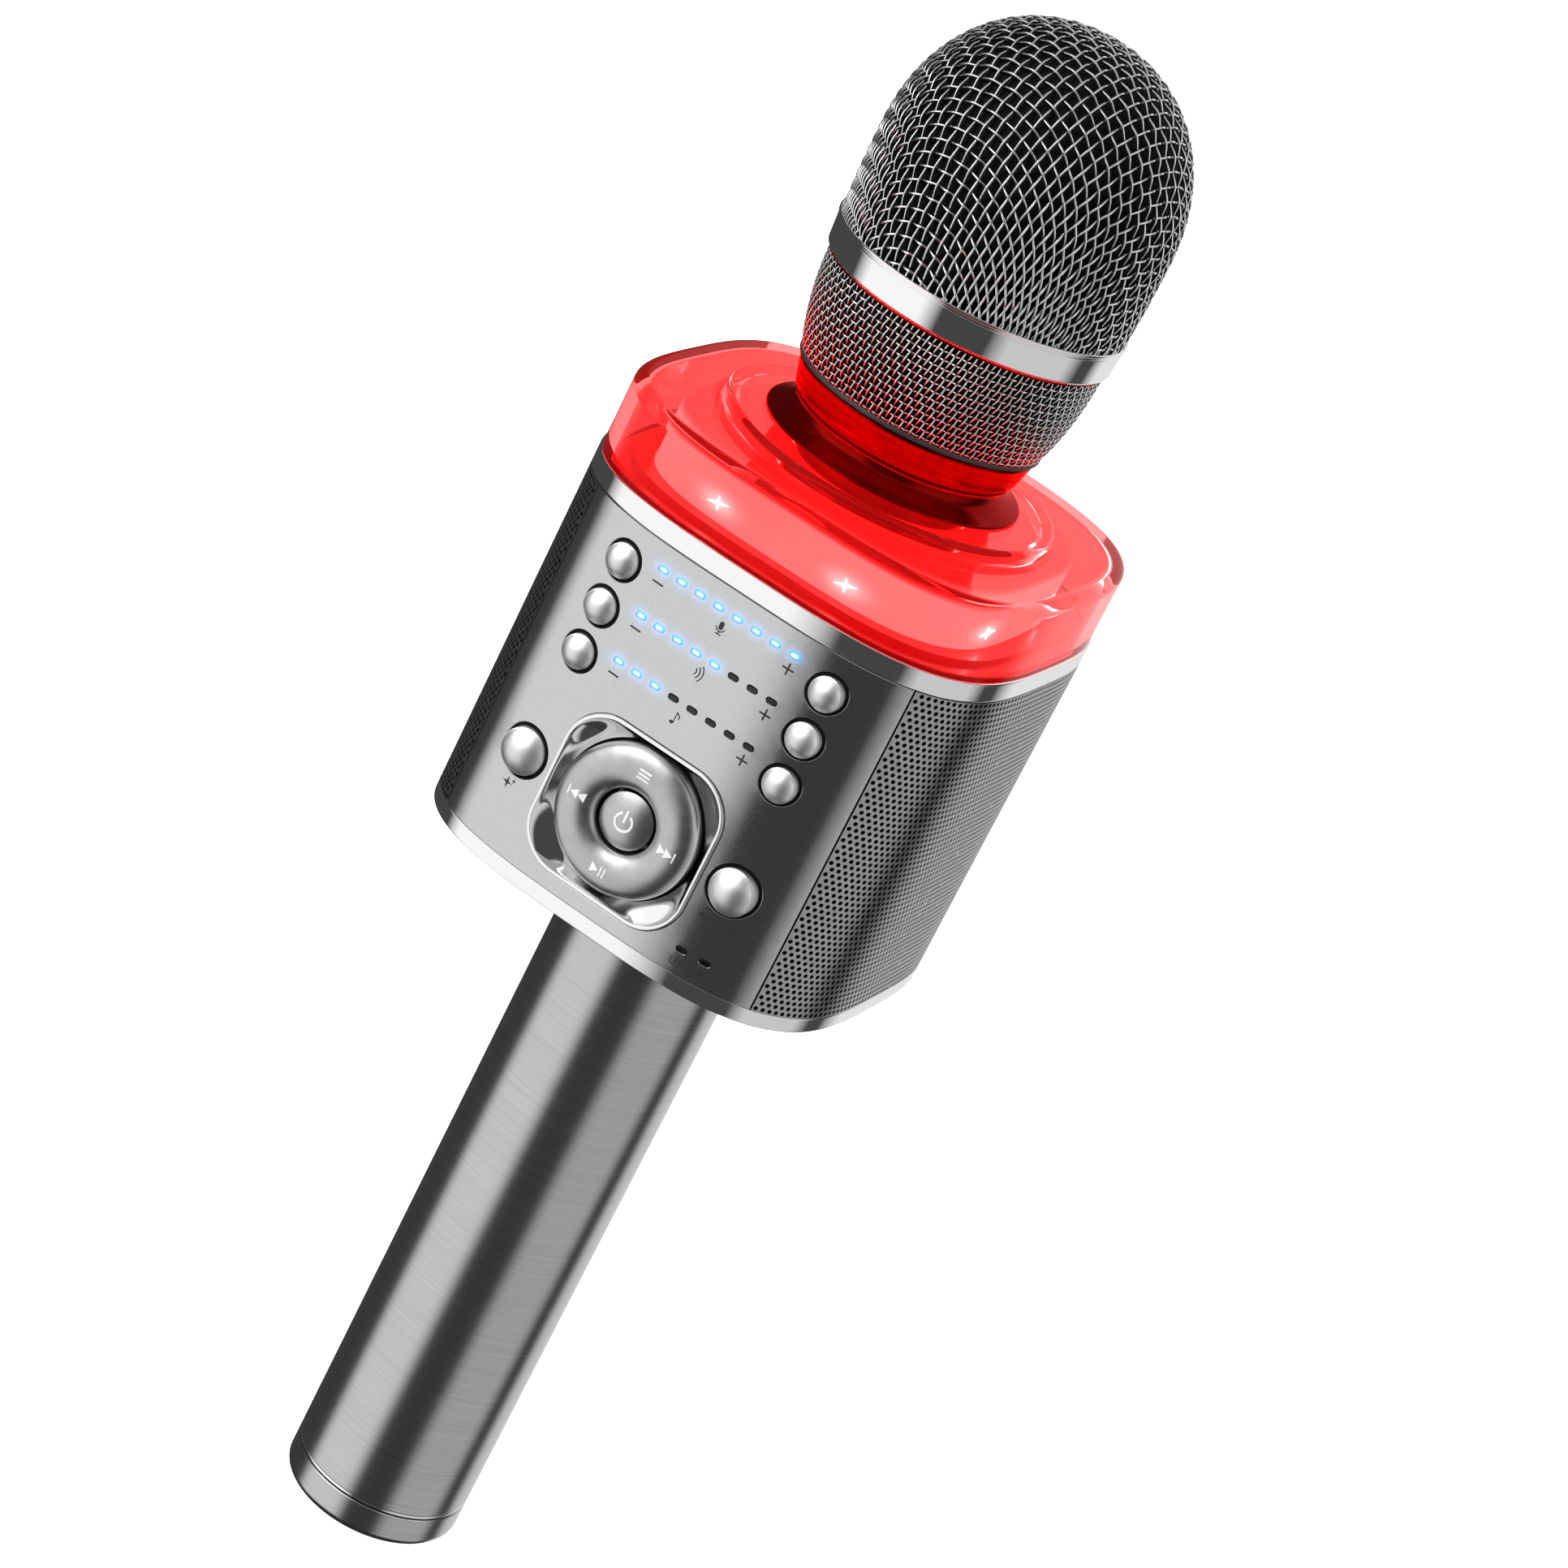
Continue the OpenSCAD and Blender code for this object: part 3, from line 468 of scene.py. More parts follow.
def drawn_wire():
    """Bright drawn wire, dull and dark on its flanks as painted shade, where the cloth shades itself."""
    mat, tree, principled = shader("drawn_wire", (0.9, 0.9, 0.9), 1.0, 0.18)
    coords = tree.nodes.new("ShaderNodeTexCoord")
    spoke = tree.nodes.new("ShaderNodeVectorMath")
    spoke.operation = "SUBTRACT"
    spoke.inputs[1].default_value = (0, 0, (GASKET_HIGH + WIDE_Z) / 2)
    outward = tree.nodes.new("ShaderNodeVectorMath")
    outward.operation = "NORMALIZE"
    facing = tree.nodes.new("ShaderNodeVectorMath")
    facing.operation = "DOT_PRODUCT"
    tree.links.new(coords.outputs["Object"], spoke.inputs[0])
    tree.links.new(spoke.outputs["Vector"], outward.inputs[0])
    tree.links.new(outward.outputs["Vector"], facing.inputs[0])
    tree.links.new(coords.outputs["Normal"], facing.inputs[1])
    # painted shade: the base colour darkens where the surface turns away from a point on the head's axis
    painted_shade_share = remap(tree, facing.outputs["Value"], 0.0, 1.0, 0.15, 0.95)
    tree.links.new(tint(tree, painted_shade_share, (0.14, 0.14, 0.14), (0.99, 0.99, 0.99)), principled.inputs["Base Color"])
    tree.links.new(remap(tree, noise(tree, 3000), 0.12, 0.22), principled.inputs["Roughness"])
    return mat


GLINT_COUNT = 8
GLINT_Z = BODY_TOP + 3.7 * MM


def math_node(tree, kind, a, b=None):
    """A math node, whose inputs are sockets or numbers."""
    node = tree.nodes.new("ShaderNodeMath")
    node.operation = kind
    for k, value in enumerate((a, b)):
        if value is None:
            continue
        if isinstance(value, (int, float)):
            node.inputs[k].default_value = value
        else:
            tree.links.new(value, node.inputs[k])
    return node.outputs[0]


def position(tree):
    """Sockets with the x, y and z of a point in the shared frame."""
    coords = tree.nodes.new("ShaderNodeTexCoord")
    split = tree.nodes.new("ShaderNodeSeparateXYZ")
    tree.links.new(coords.outputs["Object"], split.inputs["Vector"])
    return split.outputs["X"], split.outputs["Y"], split.outputs["Z"]


def bell(tree, square):
    """exp(-square), a soft round spot."""
    return math_node(tree, "EXPONENT", math_node(tree, "MULTIPLY", square, -1.0))


def lit_diffuser():
    """Milky diffuser: it glows pink, with a soft hot spot over each light of the ring."""
    mat, tree, principled = shader("lit_diffuser", (0.9, 0.30, 0.30), 0.0, 0.4)
    x, y, z = position(tree)
    height = remap(tree, z, 0.0, 1.0, COVER_TOP - 5 * MM, COVER_TOP - 2 * MM)
    tree.links.new(tint(tree, height, (1.30, 1.40, 1.40), (0.78, 0.06, 0.06)), principled.inputs["Emission Color"])
    angle = math_node(tree, "MULTIPLY", math_node(tree, "ARCTAN2", y, x), float(GLINT_COUNT))
    around = math_node(tree, "MULTIPLY", math_node(tree, "ADD", math_node(tree, "COSINE", angle), 1.0), 3.5)
    rise = math_node(tree, "DIVIDE", math_node(tree, "SUBTRACT", z, GLINT_Z), 1.5 * MM)
    spot = bell(tree, math_node(tree, "ADD", around, math_node(tree, "MULTIPLY", rise, rise)))
    cloudy = remap(tree, noise(tree, 60, detail=3.0), 0.80, 1.05)
    tree.links.new(math_node(tree, "ADD", cloudy, math_node(tree, "MULTIPLY", spot, 2.2)),
                   principled.inputs["Emission Strength"])
    return mat


def lit_panel():
    """Satin painted aluminium of the front panel, with a painted blue glow round each lit window, where its light would
    spill.
    """
    mat, tree, principled = shader("panel_metal", (0.6, 0.61, 0.61), 1.0, 0.22)
    grain = noise(tree, 3200, detail=3.0)
    tree.links.new(tint(tree, grain, (0.56, 0.57, 0.57), (0.62, 0.63, 0.63)), principled.inputs["Base Color"])
    tree.links.new(remap(tree, grain, 0.11, 0.16), principled.inputs["Roughness"])
    bump(tree, principled, grain, 0.015, 0.00002)
    x, _, z = position(tree)
    # painted light: blue emission laid on the panel round each lit window of the rows
    total = 0.0
    for row, lit in LIT_IN_ROW.items():
        level = node_centre(f"button_{row}_minus")[1] + ROW_RISE
        first = -(ROW_LEDS - 1) / 2 * LED_PITCH
        cell = math_node(tree, "DIVIDE", math_node(tree, "SUBTRACT", x, first), LED_PITCH)
        cell = math_node(tree, "ROUND", cell)
        cell = math_node(tree, "MINIMUM", math_node(tree, "MAXIMUM", cell, 0.0), lit - 1.0)
        centre = math_node(tree, "ADD", math_node(tree, "MULTIPLY", cell, LED_PITCH), first)
        across = math_node(tree, "DIVIDE", math_node(tree, "SUBTRACT", x, centre), 1.45 * MM)
        along = math_node(tree, "DIVIDE", math_node(tree, "SUBTRACT", z, level), 1.0 * MM)
        painted_light_spill = bell(tree, math_node(tree, "ADD", math_node(tree, "MULTIPLY", across, across),
                                     math_node(tree, "MULTIPLY", along, along)))
        total = math_node(tree, "ADD", painted_light_spill, total)
    principled.inputs["Emission Color"].default_value = (0.10, 0.36, 1.0, 1)
    tree.links.new(math_node(tree, "MULTIPLY", total, 0.62), principled.inputs["Emission Strength"])
    return mat


BRUSHED_TUBE = brushed_tube()
CHROME = chrome()
SATIN_CHROME = varied("satin_chrome", (0.72, 0.72, 0.73), (0.80, 0.80, 0.81), 1.0, (0.40, 0.46), 500, 0.0)
PAD_CHROME = varied("pad_chrome", (0.46, 0.47, 0.47), (0.54, 0.54, 0.55), 1.0, (0.28, 0.33), 500, 0.0)
PANEL_METAL = lit_panel()
GRILLE_METAL = varied("grille_metal", (0.38, 0.38, 0.39), (0.47, 0.47, 0.48), 1.0, (0.2, 0.28), 900, 0.03)
WIRE = drawn_wire()
FOAM = varied("open_cell_foam", (0.0015, 0.0015, 0.0015), (0.008, 0.008, 0.008), 0.0, (0.9, 1.0), 2600, 0.6,
              Specular_IOR_Level=0.08)
# near-black cloth, also used as painted shade in the gaps round the buttons, pad and power button
BLACK_CLOTH_AND_GAP_SHADE = varied("black_cloth_and_gap_shade", (0.002, 0.002, 0.002), (0.006, 0.006, 0.006), 0.0, (0.9, 1.0), 3500, 0.5,
                    Specular_IOR_Level=0.08)
BLACK_PLASTIC = varied("black_plastic", (0.009, 0.009, 0.010), (0.018, 0.018, 0.019), 0.0, (0.38, 0.5), 1800, 0.15)
RUBBER = varied("black_rubber", (0.008, 0.008, 0.008), (0.02, 0.02, 0.02), 0.0, (0.5, 0.7), 1500, 0.2)
GLOSS_RED = varied("gloss_red", (0.22, 0.002, 0.0015), (0.30, 0.004, 0.002), 0.85, (0.08, 0.14), 200, 0.0,
                   Specular_Tint=(1.0, 0.05, 0.04, 1))
# painted light: the red tray glows with its own emission, standing in for the ring light falling on it
RED_TRAY = varied("red_tray", (0.20, 0.002, 0.002), (0.26, 0.004, 0.004), 0.0, (0.15, 0.25), 300, 0.0,
                  Emission_Strength=0.17)
RED_TRAY.node_tree.nodes["Principled BSDF"].inputs["Emission Color"].default_value = (1.0, 0.03, 0.03, 1)
CLEAR_RED = clear_red()
DIFFUSER = lit_diffuser()
BOARD_GREEN = varied("board_green", (0.008, 0.10, 0.04), (0.015, 0.16, 0.06), 0.0, (0.25, 0.4), 700, 0.1)
BOARD_WHITE = varied("board_white", (0.68, 0.68, 0.68), (0.8, 0.8, 0.8), 0.0, (0.3, 0.45), 700, 0.05)
STEEL = varied("zinc_steel", (0.48, 0.48, 0.50), (0.62, 0.62, 0.64), 1.0, (0.25, 0.4), 800, 0.1)
CELL_WRAP = varied("cell_wrap", (0.02, 0.12, 0.42), (0.03, 0.17, 0.52), 0.0, (0.2, 0.32), 300, 0.05)
FERRITE = varied("ferrite", (0.03, 0.03, 0.032), (0.07, 0.07, 0.072), 0.3, (0.5, 0.7), 1200, 0.3)
PAPER = varied("pressed_fibre", (0.02, 0.02, 0.02), (0.05, 0.05, 0.05), 0.0, (0.7, 0.9), 2200, 0.5)
BRASS = varied("capsule_brass", (0.50, 0.36, 0.14), (0.62, 0.46, 0.2), 1.0, (0.25, 0.4), 900, 0.1)
BLACK_GLOSS = varied("dark_window", (0.002, 0.002, 0.003), (0.006, 0.006, 0.008), 0.0, (0.08, 0.16), 900)
PRINT = varied("black_print", (0.008, 0.008, 0.008), (0.02, 0.02, 0.02), 0.0, (0.45, 0.6), 1500)
ENGRAVED = varied("engraved_mark", (0.80, 0.80, 0.81), (0.90, 0.90, 0.91), 0.2, (0.35, 0.45), 1200)
LED_BLUE = emissive("lit_window", (0.07, 0.40, 1.0), 1.15, (0.1, 0.3, 0.6))
LED_CORE = emissive("lit_core", (0.50, 0.84, 1.0), 1.15)
# glow of the ring lights themselves, and also of the painted star glints laid on the diffuser's wall
GLINT = emissive("ring_glint", (1.0, 0.90, 0.90), 14.0)

NODE_FINISH = {
    "handle_tube": BRUSHED_TUBE, "tail_cap": BRUSHED_TUBE, "tail_trim_ring": CHROME, "tail_oring": RUBBER,
    "battery_cell": CELL_WRAP, "battery_cradle": BLACK_PLASTIC, "bottom_cover": BLACK_PLASTIC,
    "bottom_trim_ring": CHROME, "inner_frame": BLACK_CLOTH_AND_GAP_SHADE, "front_panel": PANEL_METAL,
    "grille_wrap": GRILLE_METAL, "top_trim_ring": CHROME, "top_deck": BLACK_PLASTIC, "case_screws": STEEL,
    "control_board": BOARD_GREEN, "tact_switches": STEEL, "display_leds": BOARD_WHITE,
    "led_windows": BLACK_GLOSS, "pad_bezel": CHROME, "pad_carrier": BLACK_PLASTIC, "ring_pad": PAD_CHROME,
    "power_button": PAD_CHROME, "speaker_screws": STEEL, "main_board": BOARD_GREEN,
    "port_plate": BLACK_PLASTIC, "aux_jack": BLACK_PLASTIC, "usb_socket": STEEL, "card_slot": STEEL,
    "light_cover": CLEAR_RED, "light_diffuser": DIFFUSER, "led_board": BOARD_WHITE, "light_leds": GLINT,
    "neck_collar": GLOSS_RED, "capsule_seat": BLACK_PLASTIC, "capsule_mount": RUBBER, "mic_capsule": BRASS,
    "head_oring": RUBBER, "thread_ring": STEEL, "gasket_ring": RUBBER, "mesh_skirt": WIRE,
    "grille_band": CHROME, "mesh_dome": WIRE, "foam_windscreen": FOAM,
}
for side in ("left", "right"):
    NODE_FINISH["speaker_basket_" + side] = STEEL
    NODE_FINISH["speaker_magnet_" + side] = FERRITE
    NODE_FINISH["speaker_cone_" + side] = PAPER
    NODE_FINISH["speaker_surround_" + side] = RUBBER

for node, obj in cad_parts.items():
    obj.data.materials.clear()
    obj.data.materials.append(NODE_FINISH.get(node, SATIN_CHROME))


# ---------------------------------------------------------------- handle and tail

def build_handle():
    edge = 0.25 * MM
    bore = TUBE_R - 1.4 * MM
    shoulder = TUBE_R - 0.4 * MM
    tube = soften([(TUBE_R, TUBE_LOW), (TUBE_R, BODY_Z), (shoulder, BODY_Z), (shoulder, TUBE_TOP),
                   (bore, TUBE_TOP), (bore, TUBE_LOW)], [edge, 0, 0, edge, edge, edge], 3)
    obj = make_object("handle_sleeve", *lathe(tube), BRUSHED_TUBE, "housing", slot="handle_alu")
    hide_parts("handle_tube")

    ring_low = TAIL_H + 0.3 * MM
    ring = soften([(TUBE_R - 0.05 * MM, ring_low), (TUBE_R - 0.05 * MM, TUBE_LOW),
                   (bore, TUBE_LOW), (bore, ring_low)], 0.12 * MM, 3)
    obj = make_object("tail_bright_ring", *lathe(ring), CHROME, "housing", slot="chrome")
    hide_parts("tail_trim_ring")


def build_tail():
    """Tail cap: brushed wall, polished round lower edge and a flat foot with a turned recess."""
    fillet = 1.6 * MM
    outer = [(0.0, 0.12 * MM), (6 * MM, 0.12 * MM), (6.4 * MM, 0.0), (TUBE_R - fillet, 0.0)]
    arc = [(TUBE_R - fillet + fillet * math.sin(a), fillet - fillet * math.cos(a))
           for a in np.linspace(0.15, math.pi / 2, 9)]
    spigot = 13.3 * MM
    top = [(TUBE_R, TAIL_H - 0.15 * MM), (TUBE_R - 0.15 * MM, TAIL_H), (spigot, TAIL_H)]
    threads = []
    turns = 6
    z_low, z_high = TAIL_H + 0.2 * MM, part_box("tail_oring")[0].z - 0.3 * MM
    for k in range(turns):
        z = z_low + (z_high - z_low) * k / turns
        threads += [(spigot, z), (spigot - 0.3 * MM, z + (z_high - z_low) * 0.5 / turns)]
    ring_low, ring_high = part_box("tail_oring")[0].z - 0.1 * MM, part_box("tail_oring")[1].z + 0.1 * MM
    groove = spigot - 1.3 * MM
    upper = [(spigot, z_high), (spigot, ring_low), (groove, ring_low), (groove, ring_high), (spigot, ring_high),
             (spigot, SPIGOT_TOP), (spigot - 2.6 * MM, SPIGOT_TOP), (spigot - 2.6 * MM, 2 * MM), (0.0, 2 * MM)]
    verts, faces = solid_lathe(outer + arc + top + threads + upper)
    obj = make_object("tail_end_cap", verts, faces, BRUSHED_TUBE, "tail", slot="handle_alu")
    obj.data.materials.append(CHROME)
    for poly in obj.data.polygons:
        if poly.center.z < 0.75 * MM:
            poly.material_index = 1
    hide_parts("tail_cap")


# ---------------------------------------------------------------- speaker body

def build_trims():
    for name, node, low, high in (("low_bright_trim", "bottom_trim_ring", BODY_Z, SKIN_LOW),
                                  ("top_bright_trim", "top_trim_ring", SKIN_TOP, BODY_TOP)):
        wall = 2.5 * MM
        outer = 0.3 * MM
        profile = soften([(0, low), (0, high), (wall, high), (wall, low)],
                         [outer, outer, 0.1 * MM, 0.1 * MM], 5)
        obj = make_object(name, *body_loft(profile, 360), CHROME, "housing", slot="chrome")
        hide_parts(node)


def led_places():
    """Centre and lit state of each light window."""
    places = []
    for row, lit in LIT_IN_ROW.items():
        z = node_centre(f"button_{row}_minus")[1] + ROW_RISE
        for i in range(ROW_LEDS):
            places.append(((i - (ROW_LEDS - 1) / 2) * LED_PITCH, z, i < lit))
    for x in (16.5 * MM, 20.4 * MM):
        places.append((x, BODY_Z + 6.6 * MM, False))
    return places


def build_panel():
    outline = box_loop(-PANEL_HALF, SKIN_LOW + 0.05 * MM, PANEL_HALF, SKIN_TOP - 0.05 * MM, 1.4 * MM)
    holes = []
    for nodes, radius in ((SMALL_BUTTONS, SMALL_HOLE), (BIG_BUTTONS, BIG_HOLE)):
        for node in nodes:
            x, z = node_centre(node)
            holes.append(circle_loop(x, z, radius, 48))
    for x, z, _ in led_places():
        holes.append(rounded_loop(x, z, *LED_HALF, LED_HALF[1] - 0.001 * MM, 6))
    holes.append(rounded_loop(0, PAD_Z, 14.2 * MM, 13.6 * MM, 7.5 * MM, 14))
    verts, faces = pierced_plate(outline, holes, front_surface, SKIN, 0.10 * MM, 1.5 * MM)
    obj = make_object("front_plate", verts, faces, PANEL_METAL, "housing", 30, "panel_alu")
    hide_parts("front_panel")


def wrap_path():
    """The outline from the panel's right edge round the back to its left edge, by arc length."""
    right = math.atan2(float(front_y(PANEL_HALF + SEAM)), PANEL_HALF + SEAM)
    angle = np.linspace(right, math.pi - right, 2400)
    xy = body_at(0, angle)
    along = np.concatenate([[0], np.cumsum(np.linalg.norm(np.diff(xy, axis=0), axis=1))])
    return angle, along, xy


def wrap_surface(angle, along):
    def surface(u, v, depth):
        theta = np.interp(u, along, angle)
        xy = body_at(0, theta)
        ahead = body_at(0, theta + 1e-4) - xy
        ahead /= np.linalg.norm(ahead, axis=1)[:, None]
        normal = np.stack([ahead[:, 1], -ahead[:, 0]], 1)
        return np.column_stack([xy - depth * normal, v])
    return surface


def perforated(surface, u0, u1, v0, v1, pitch, radius, thick):
    """A closed sheet with staggered round holes that run through it."""
    rows = max(2, round((v1 - v0) / (pitch * math.sqrt(3) / 2)))
    cols = max(2, round((u1 - u0) / pitch))
    du, dv = (u1 - u0) / cols, (v1 - v0) / rows
    sides = 8
    turn = (np.arange(sides) + 0.5) * TAU / sides
    grid_u = u0 + du * np.arange(2 * cols + 1) / 2
    grid_v = v0 + dv * np.arange(rows + 1)
    gu, gv = np.meshgrid(grid_u, grid_v)
    count = gu.size
    width = 2 * cols + 1
    centres, corners = [], []
    plain = []
    for row in range(rows):
        first = row % 2
        for col in range(cols - first):
            k = 2 * col + first
            base = row * width + k
            centres.append((grid_u[k + 1], (grid_v[row] + grid_v[row + 1]) / 2))
            corners.append((base, base + 1, base + 2, base + width + 2, base + width + 1, base + width))
        if first:
            for k in (0, 2 * cols - 1):
                base = row * width + k
                plain.append((base, base + 1, base + width + 1, base + width))
    centres, corners = np.array(centres), np.array(corners)
    hu = (centres[:, 0][:, None] + radius * np.cos(turn)[None]).ravel()
    hv = (centres[:, 1][:, None] + radius * np.sin(turn)[None]).ravel()
    u, v = np.concatenate([gu.ravel(), hu]), np.concatenate([gv.ravel(), hv])
    hole = count + np.arange(len(centres) * sides).reshape(-1, sides)
    layer = len(u)
    # corner order: low left, low middle, low right, high right, high middle, high left
    fan = [(0, 4, 5), (1, 5, 6), (2, 6, 7), (2, 7, 0), (3, 0, 1), (4, 1, 2), (5, 2, 3), (5, 3, 4)]
    front = []
    for corner, a, b in fan:
        front.append(np.stack([corners[:, corner], hole[:, b], hole[:, a]], 1))
    for c0, c1, h in ((0, 1, 5), (1, 2, 6), (2, 3, 0), (3, 4, 1), (4, 5, 2), (5, 0, 4)):
        front.append(np.stack([corners[:, c0], corners[:, c1], hole[:, h]], 1))
    front = np.concatenate(front)
    walls = []
    for i in range(sides):
        j = (i + 1) % sides
        walls.append(np.stack([hole[:, i], hole[:, j], hole[:, j] + layer, hole[:, i] + layer], 1))
    walls = np.concatenate(walls)
    border = [r * width for r in range(rows, -1, -1)]
    loop = list(range(width)) + [r * width + width - 1 for r in range(1, rows + 1)]
    loop += [rows * width + c for c in range(width - 2, -1, -1)] + border[1:-1]
    rim = [(loop[i], loop[(i + 1) % len(loop)]) for i in range(len(loop))]
    plain = np.array(plain)
    faces = front.tolist() + (front[:, ::-1] + layer).tolist() + walls.tolist()
    faces += plain.tolist() + (plain[:, ::-1] + layer).tolist()
    faces += [[b, a, a + layer, b + layer] for a, b in rim]
    verts = np.concatenate([surface(u, v, 0.0), surface(u, v, thick)])
    return verts, faces


def build_grille():
    angle, along, xy = wrap_path()
    surface = wrap_surface(angle, along)
    port_low, port_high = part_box("port_plate")
    rear = xy[:, 1] > 0
    port_right = np.interp(-port_high.x, -xy[rear][:, 0], along[rear])
    port_left = np.interp(-port_low.x, -xy[rear][:, 0], along[rear])
    gap = 0.05 * MM
    port_top = port_high.z + gap
    low, high = SKIN_LOW + gap, SKIN_TOP - gap
    pitch, radius, thick = 1.15 * MM, 0.37 * MM, 0.8 * MM
    strips = (("grille_right", along[0], port_right + gap, low, high),
              ("grille_rear", port_right + gap, port_left - gap, port_top, high),
              ("grille_left", port_left - gap, along[-1], low, high))
    for name, u0, u1, v0, v1 in strips:
        verts, faces = perforated(surface, u0, u1, v0, v1, pitch, radius, thick)
        make_object(name, verts, faces, GRILLE_METAL, "housing", 30, "grille_metal")
    sill = box_loop(port_right + gap, low, port_left - gap, port_low.z - gap, 1.4 * MM)
    verts, faces = rear_plate(sill, surface, thick)
    make_object("grille_sill", verts, faces, GRILLE_METAL, "housing", 30, "grille_metal")
    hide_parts("grille_wrap")


def rear_plate(outline, surface, thick):
    """A plain strip of the rear wall."""
    verts, faces = pierced_plate(outline, [], surface, thick, 0.08 * MM, 1.4 * MM)
    return verts, [f[::-1] for f in faces]


# ---------------------------------------------------------------- controls

def cap_profile(radius, edge, crown, foot, flange, stem_end, stem_r):
    """Half section of a domed button from its crown to its stem, as (radius, height out of the panel)."""
    lip = 0.14 * MM
    span = radius - lip
    ball = (span ** 2 + crown ** 2) / (2 * crown)
    dome = [(ball * math.sin(a), edge + crown - ball * (1 - math.cos(a)))
            for a in np.linspace(0, math.asin(span / ball), 14)]
    return dome + [(radius - 0.04 * MM, edge - 0.05 * MM), (radius, edge - 0.16 * MM), (radius, foot),
                   (radius + flange, foot), (radius + flange, foot - 0.8 * MM),
                   (stem_r, foot - 0.8 * MM), (stem_r, stem_end), (0.0, stem_end)]


def build_gap_rings():
    """Black rings in the gaps round the buttons, just below the panel's surface: painted shade, a dark sheet where the
    gaps fall into shade.
    """
    shapes = []
    for nodes, hole, cap in ((SMALL_BUTTONS, SMALL_HOLE, SMALL_CAP), (BIG_BUTTONS, BIG_HOLE, BIG_CAP)):
        for node in nodes:
            x, z = node_centre(node)
            outline, inside = (circle_loop(x, z, r, 48) for r in (hole - 0.03 * MM, cap + 0.05 * MM))
            shapes.append(pierced_plate(outline, [inside], front_surface, 1.0 * MM, 0.01 * MM, raised=-0.12 * MM))
    make_object("button_gap_shade", *join(shapes), BLACK_CLOTH_AND_GAP_SHADE, "housing", 30, "black_plastic")
    front = HALF_D + 0.15 * MM
    # the same painted shade: dark rings in the gaps round the pad and the power button
    for name, inner, outer, height in (
            ("pad_gap_shade", PAD_R + 0.12 * MM, PAD_R + BUTTON_GAP - 0.02 * MM, front - 2.45 * MM),
            ("power_gap_shade", 4.74 * MM, 4.95 * MM, front - 1.25 * MM)):
        ring = lathe([(inner, height), (inner, height - 1.0 * MM), (outer, height - 1.0 * MM), (outer, height)], 96)
        make_object(name, face_front(ring[0], 0, PAD_Z), ring[1], BLACK_CLOTH_AND_GAP_SHADE,
                    "housing" if name == "pad_gap_shade" else "pad", 30, "black_plastic")


def build_buttons():
    for node in SMALL_BUTTONS + BIG_BUTTONS + ["power_button"]:
        low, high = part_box(node)
        x, z = node_centre(node)
        big = node in BIG_BUTTONS
        power = node == "power_button"
        radius = POWER_CAP if power else BIG_CAP if big else SMALL_CAP
        crown = (0.95 if power else 1.55 if big else 1.15) * MM
        edge = -low.y - crown
        foot = edge - (2.3 if power else 2.4) * MM
        flange = (0.1 if power else 0.5) * MM
        if not power:
            foot = -float(front_y(abs(x) + radius + 0.55 * MM)) - SKIN - 0.4 * MM
        verts, faces = solid_lathe(cap_profile(radius, edge, crown, foot, flange, -high.y, 1.2 * MM), 96)
        body = "power" if power else node.replace("button_", "key_")
        finish = PAD_CHROME if power else SATIN_CHROME
        obj = make_object(node.replace("button_", "cap_").replace("power_button", "cap_power"),
                          face_front(verts, x, z), faces, finish, body, 40, "button_chrome")
        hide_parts(node)


def build_light_windows():
    """Clear pills in the panel: the lit ones glow, with a brighter core."""
    shapes = {True: [], False: []}
    cores = []
    for x, z, lit in led_places():
        grow = -0.06 * MM
        loop = rounded_loop(x, z, *LED_HALF, LED_HALF[1] - 0.001 * MM, 6)
        shapes[lit].append(pierced_plate(lambda g, f=loop: f(g + grow), [], front_surface, 2.0 * MM, 0.08 * MM,
                                         raised=0.03 * MM))
        if lit:
            core = rounded_loop(x, z, 0.55 * MM, 0.22 * MM, 0.219 * MM, 6)
            cores.append(pierced_plate(core, [], front_surface, 0.02 * MM, 0.02 * MM, raised=0.06 * MM))
    lit = make_object("lit_windows", *join(shapes[True]), LED_BLUE, "housing", 30, "led_blue")
    make_object("dark_windows", *join(shapes[False]), BLACK_GLOSS, "housing", 30, "black_plastic")
    make_object("lit_window_cores", *join(cores), LED_CORE, "housing", 30, "led_blue")
    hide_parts("led_windows")


def square_reach(angle, half_u, half_v, corner):
    """Distance from the centre of a rounded rectangle to its edge in each direction."""
    du, dv = np.cos(angle), np.sin(angle)
    reach = np.minimum(half_u / np.maximum(np.abs(du), 1e-9), half_v / np.maximum(np.abs(dv), 1e-9))
    cu, cv = half_u - corner, half_v - corner
    au, av = np.abs(du), np.abs(dv)
    dot = au * cu + av * cv
    inside = dot ** 2 - (cu ** 2 + cv ** 2 - corner ** 2)
    curved = dot + np.sqrt(np.maximum(inside, 0))
    at_corner = (curved * au > cu) & (curved * av > cv) & (inside >= 0)
    return np.where(at_corner, curved, reach)


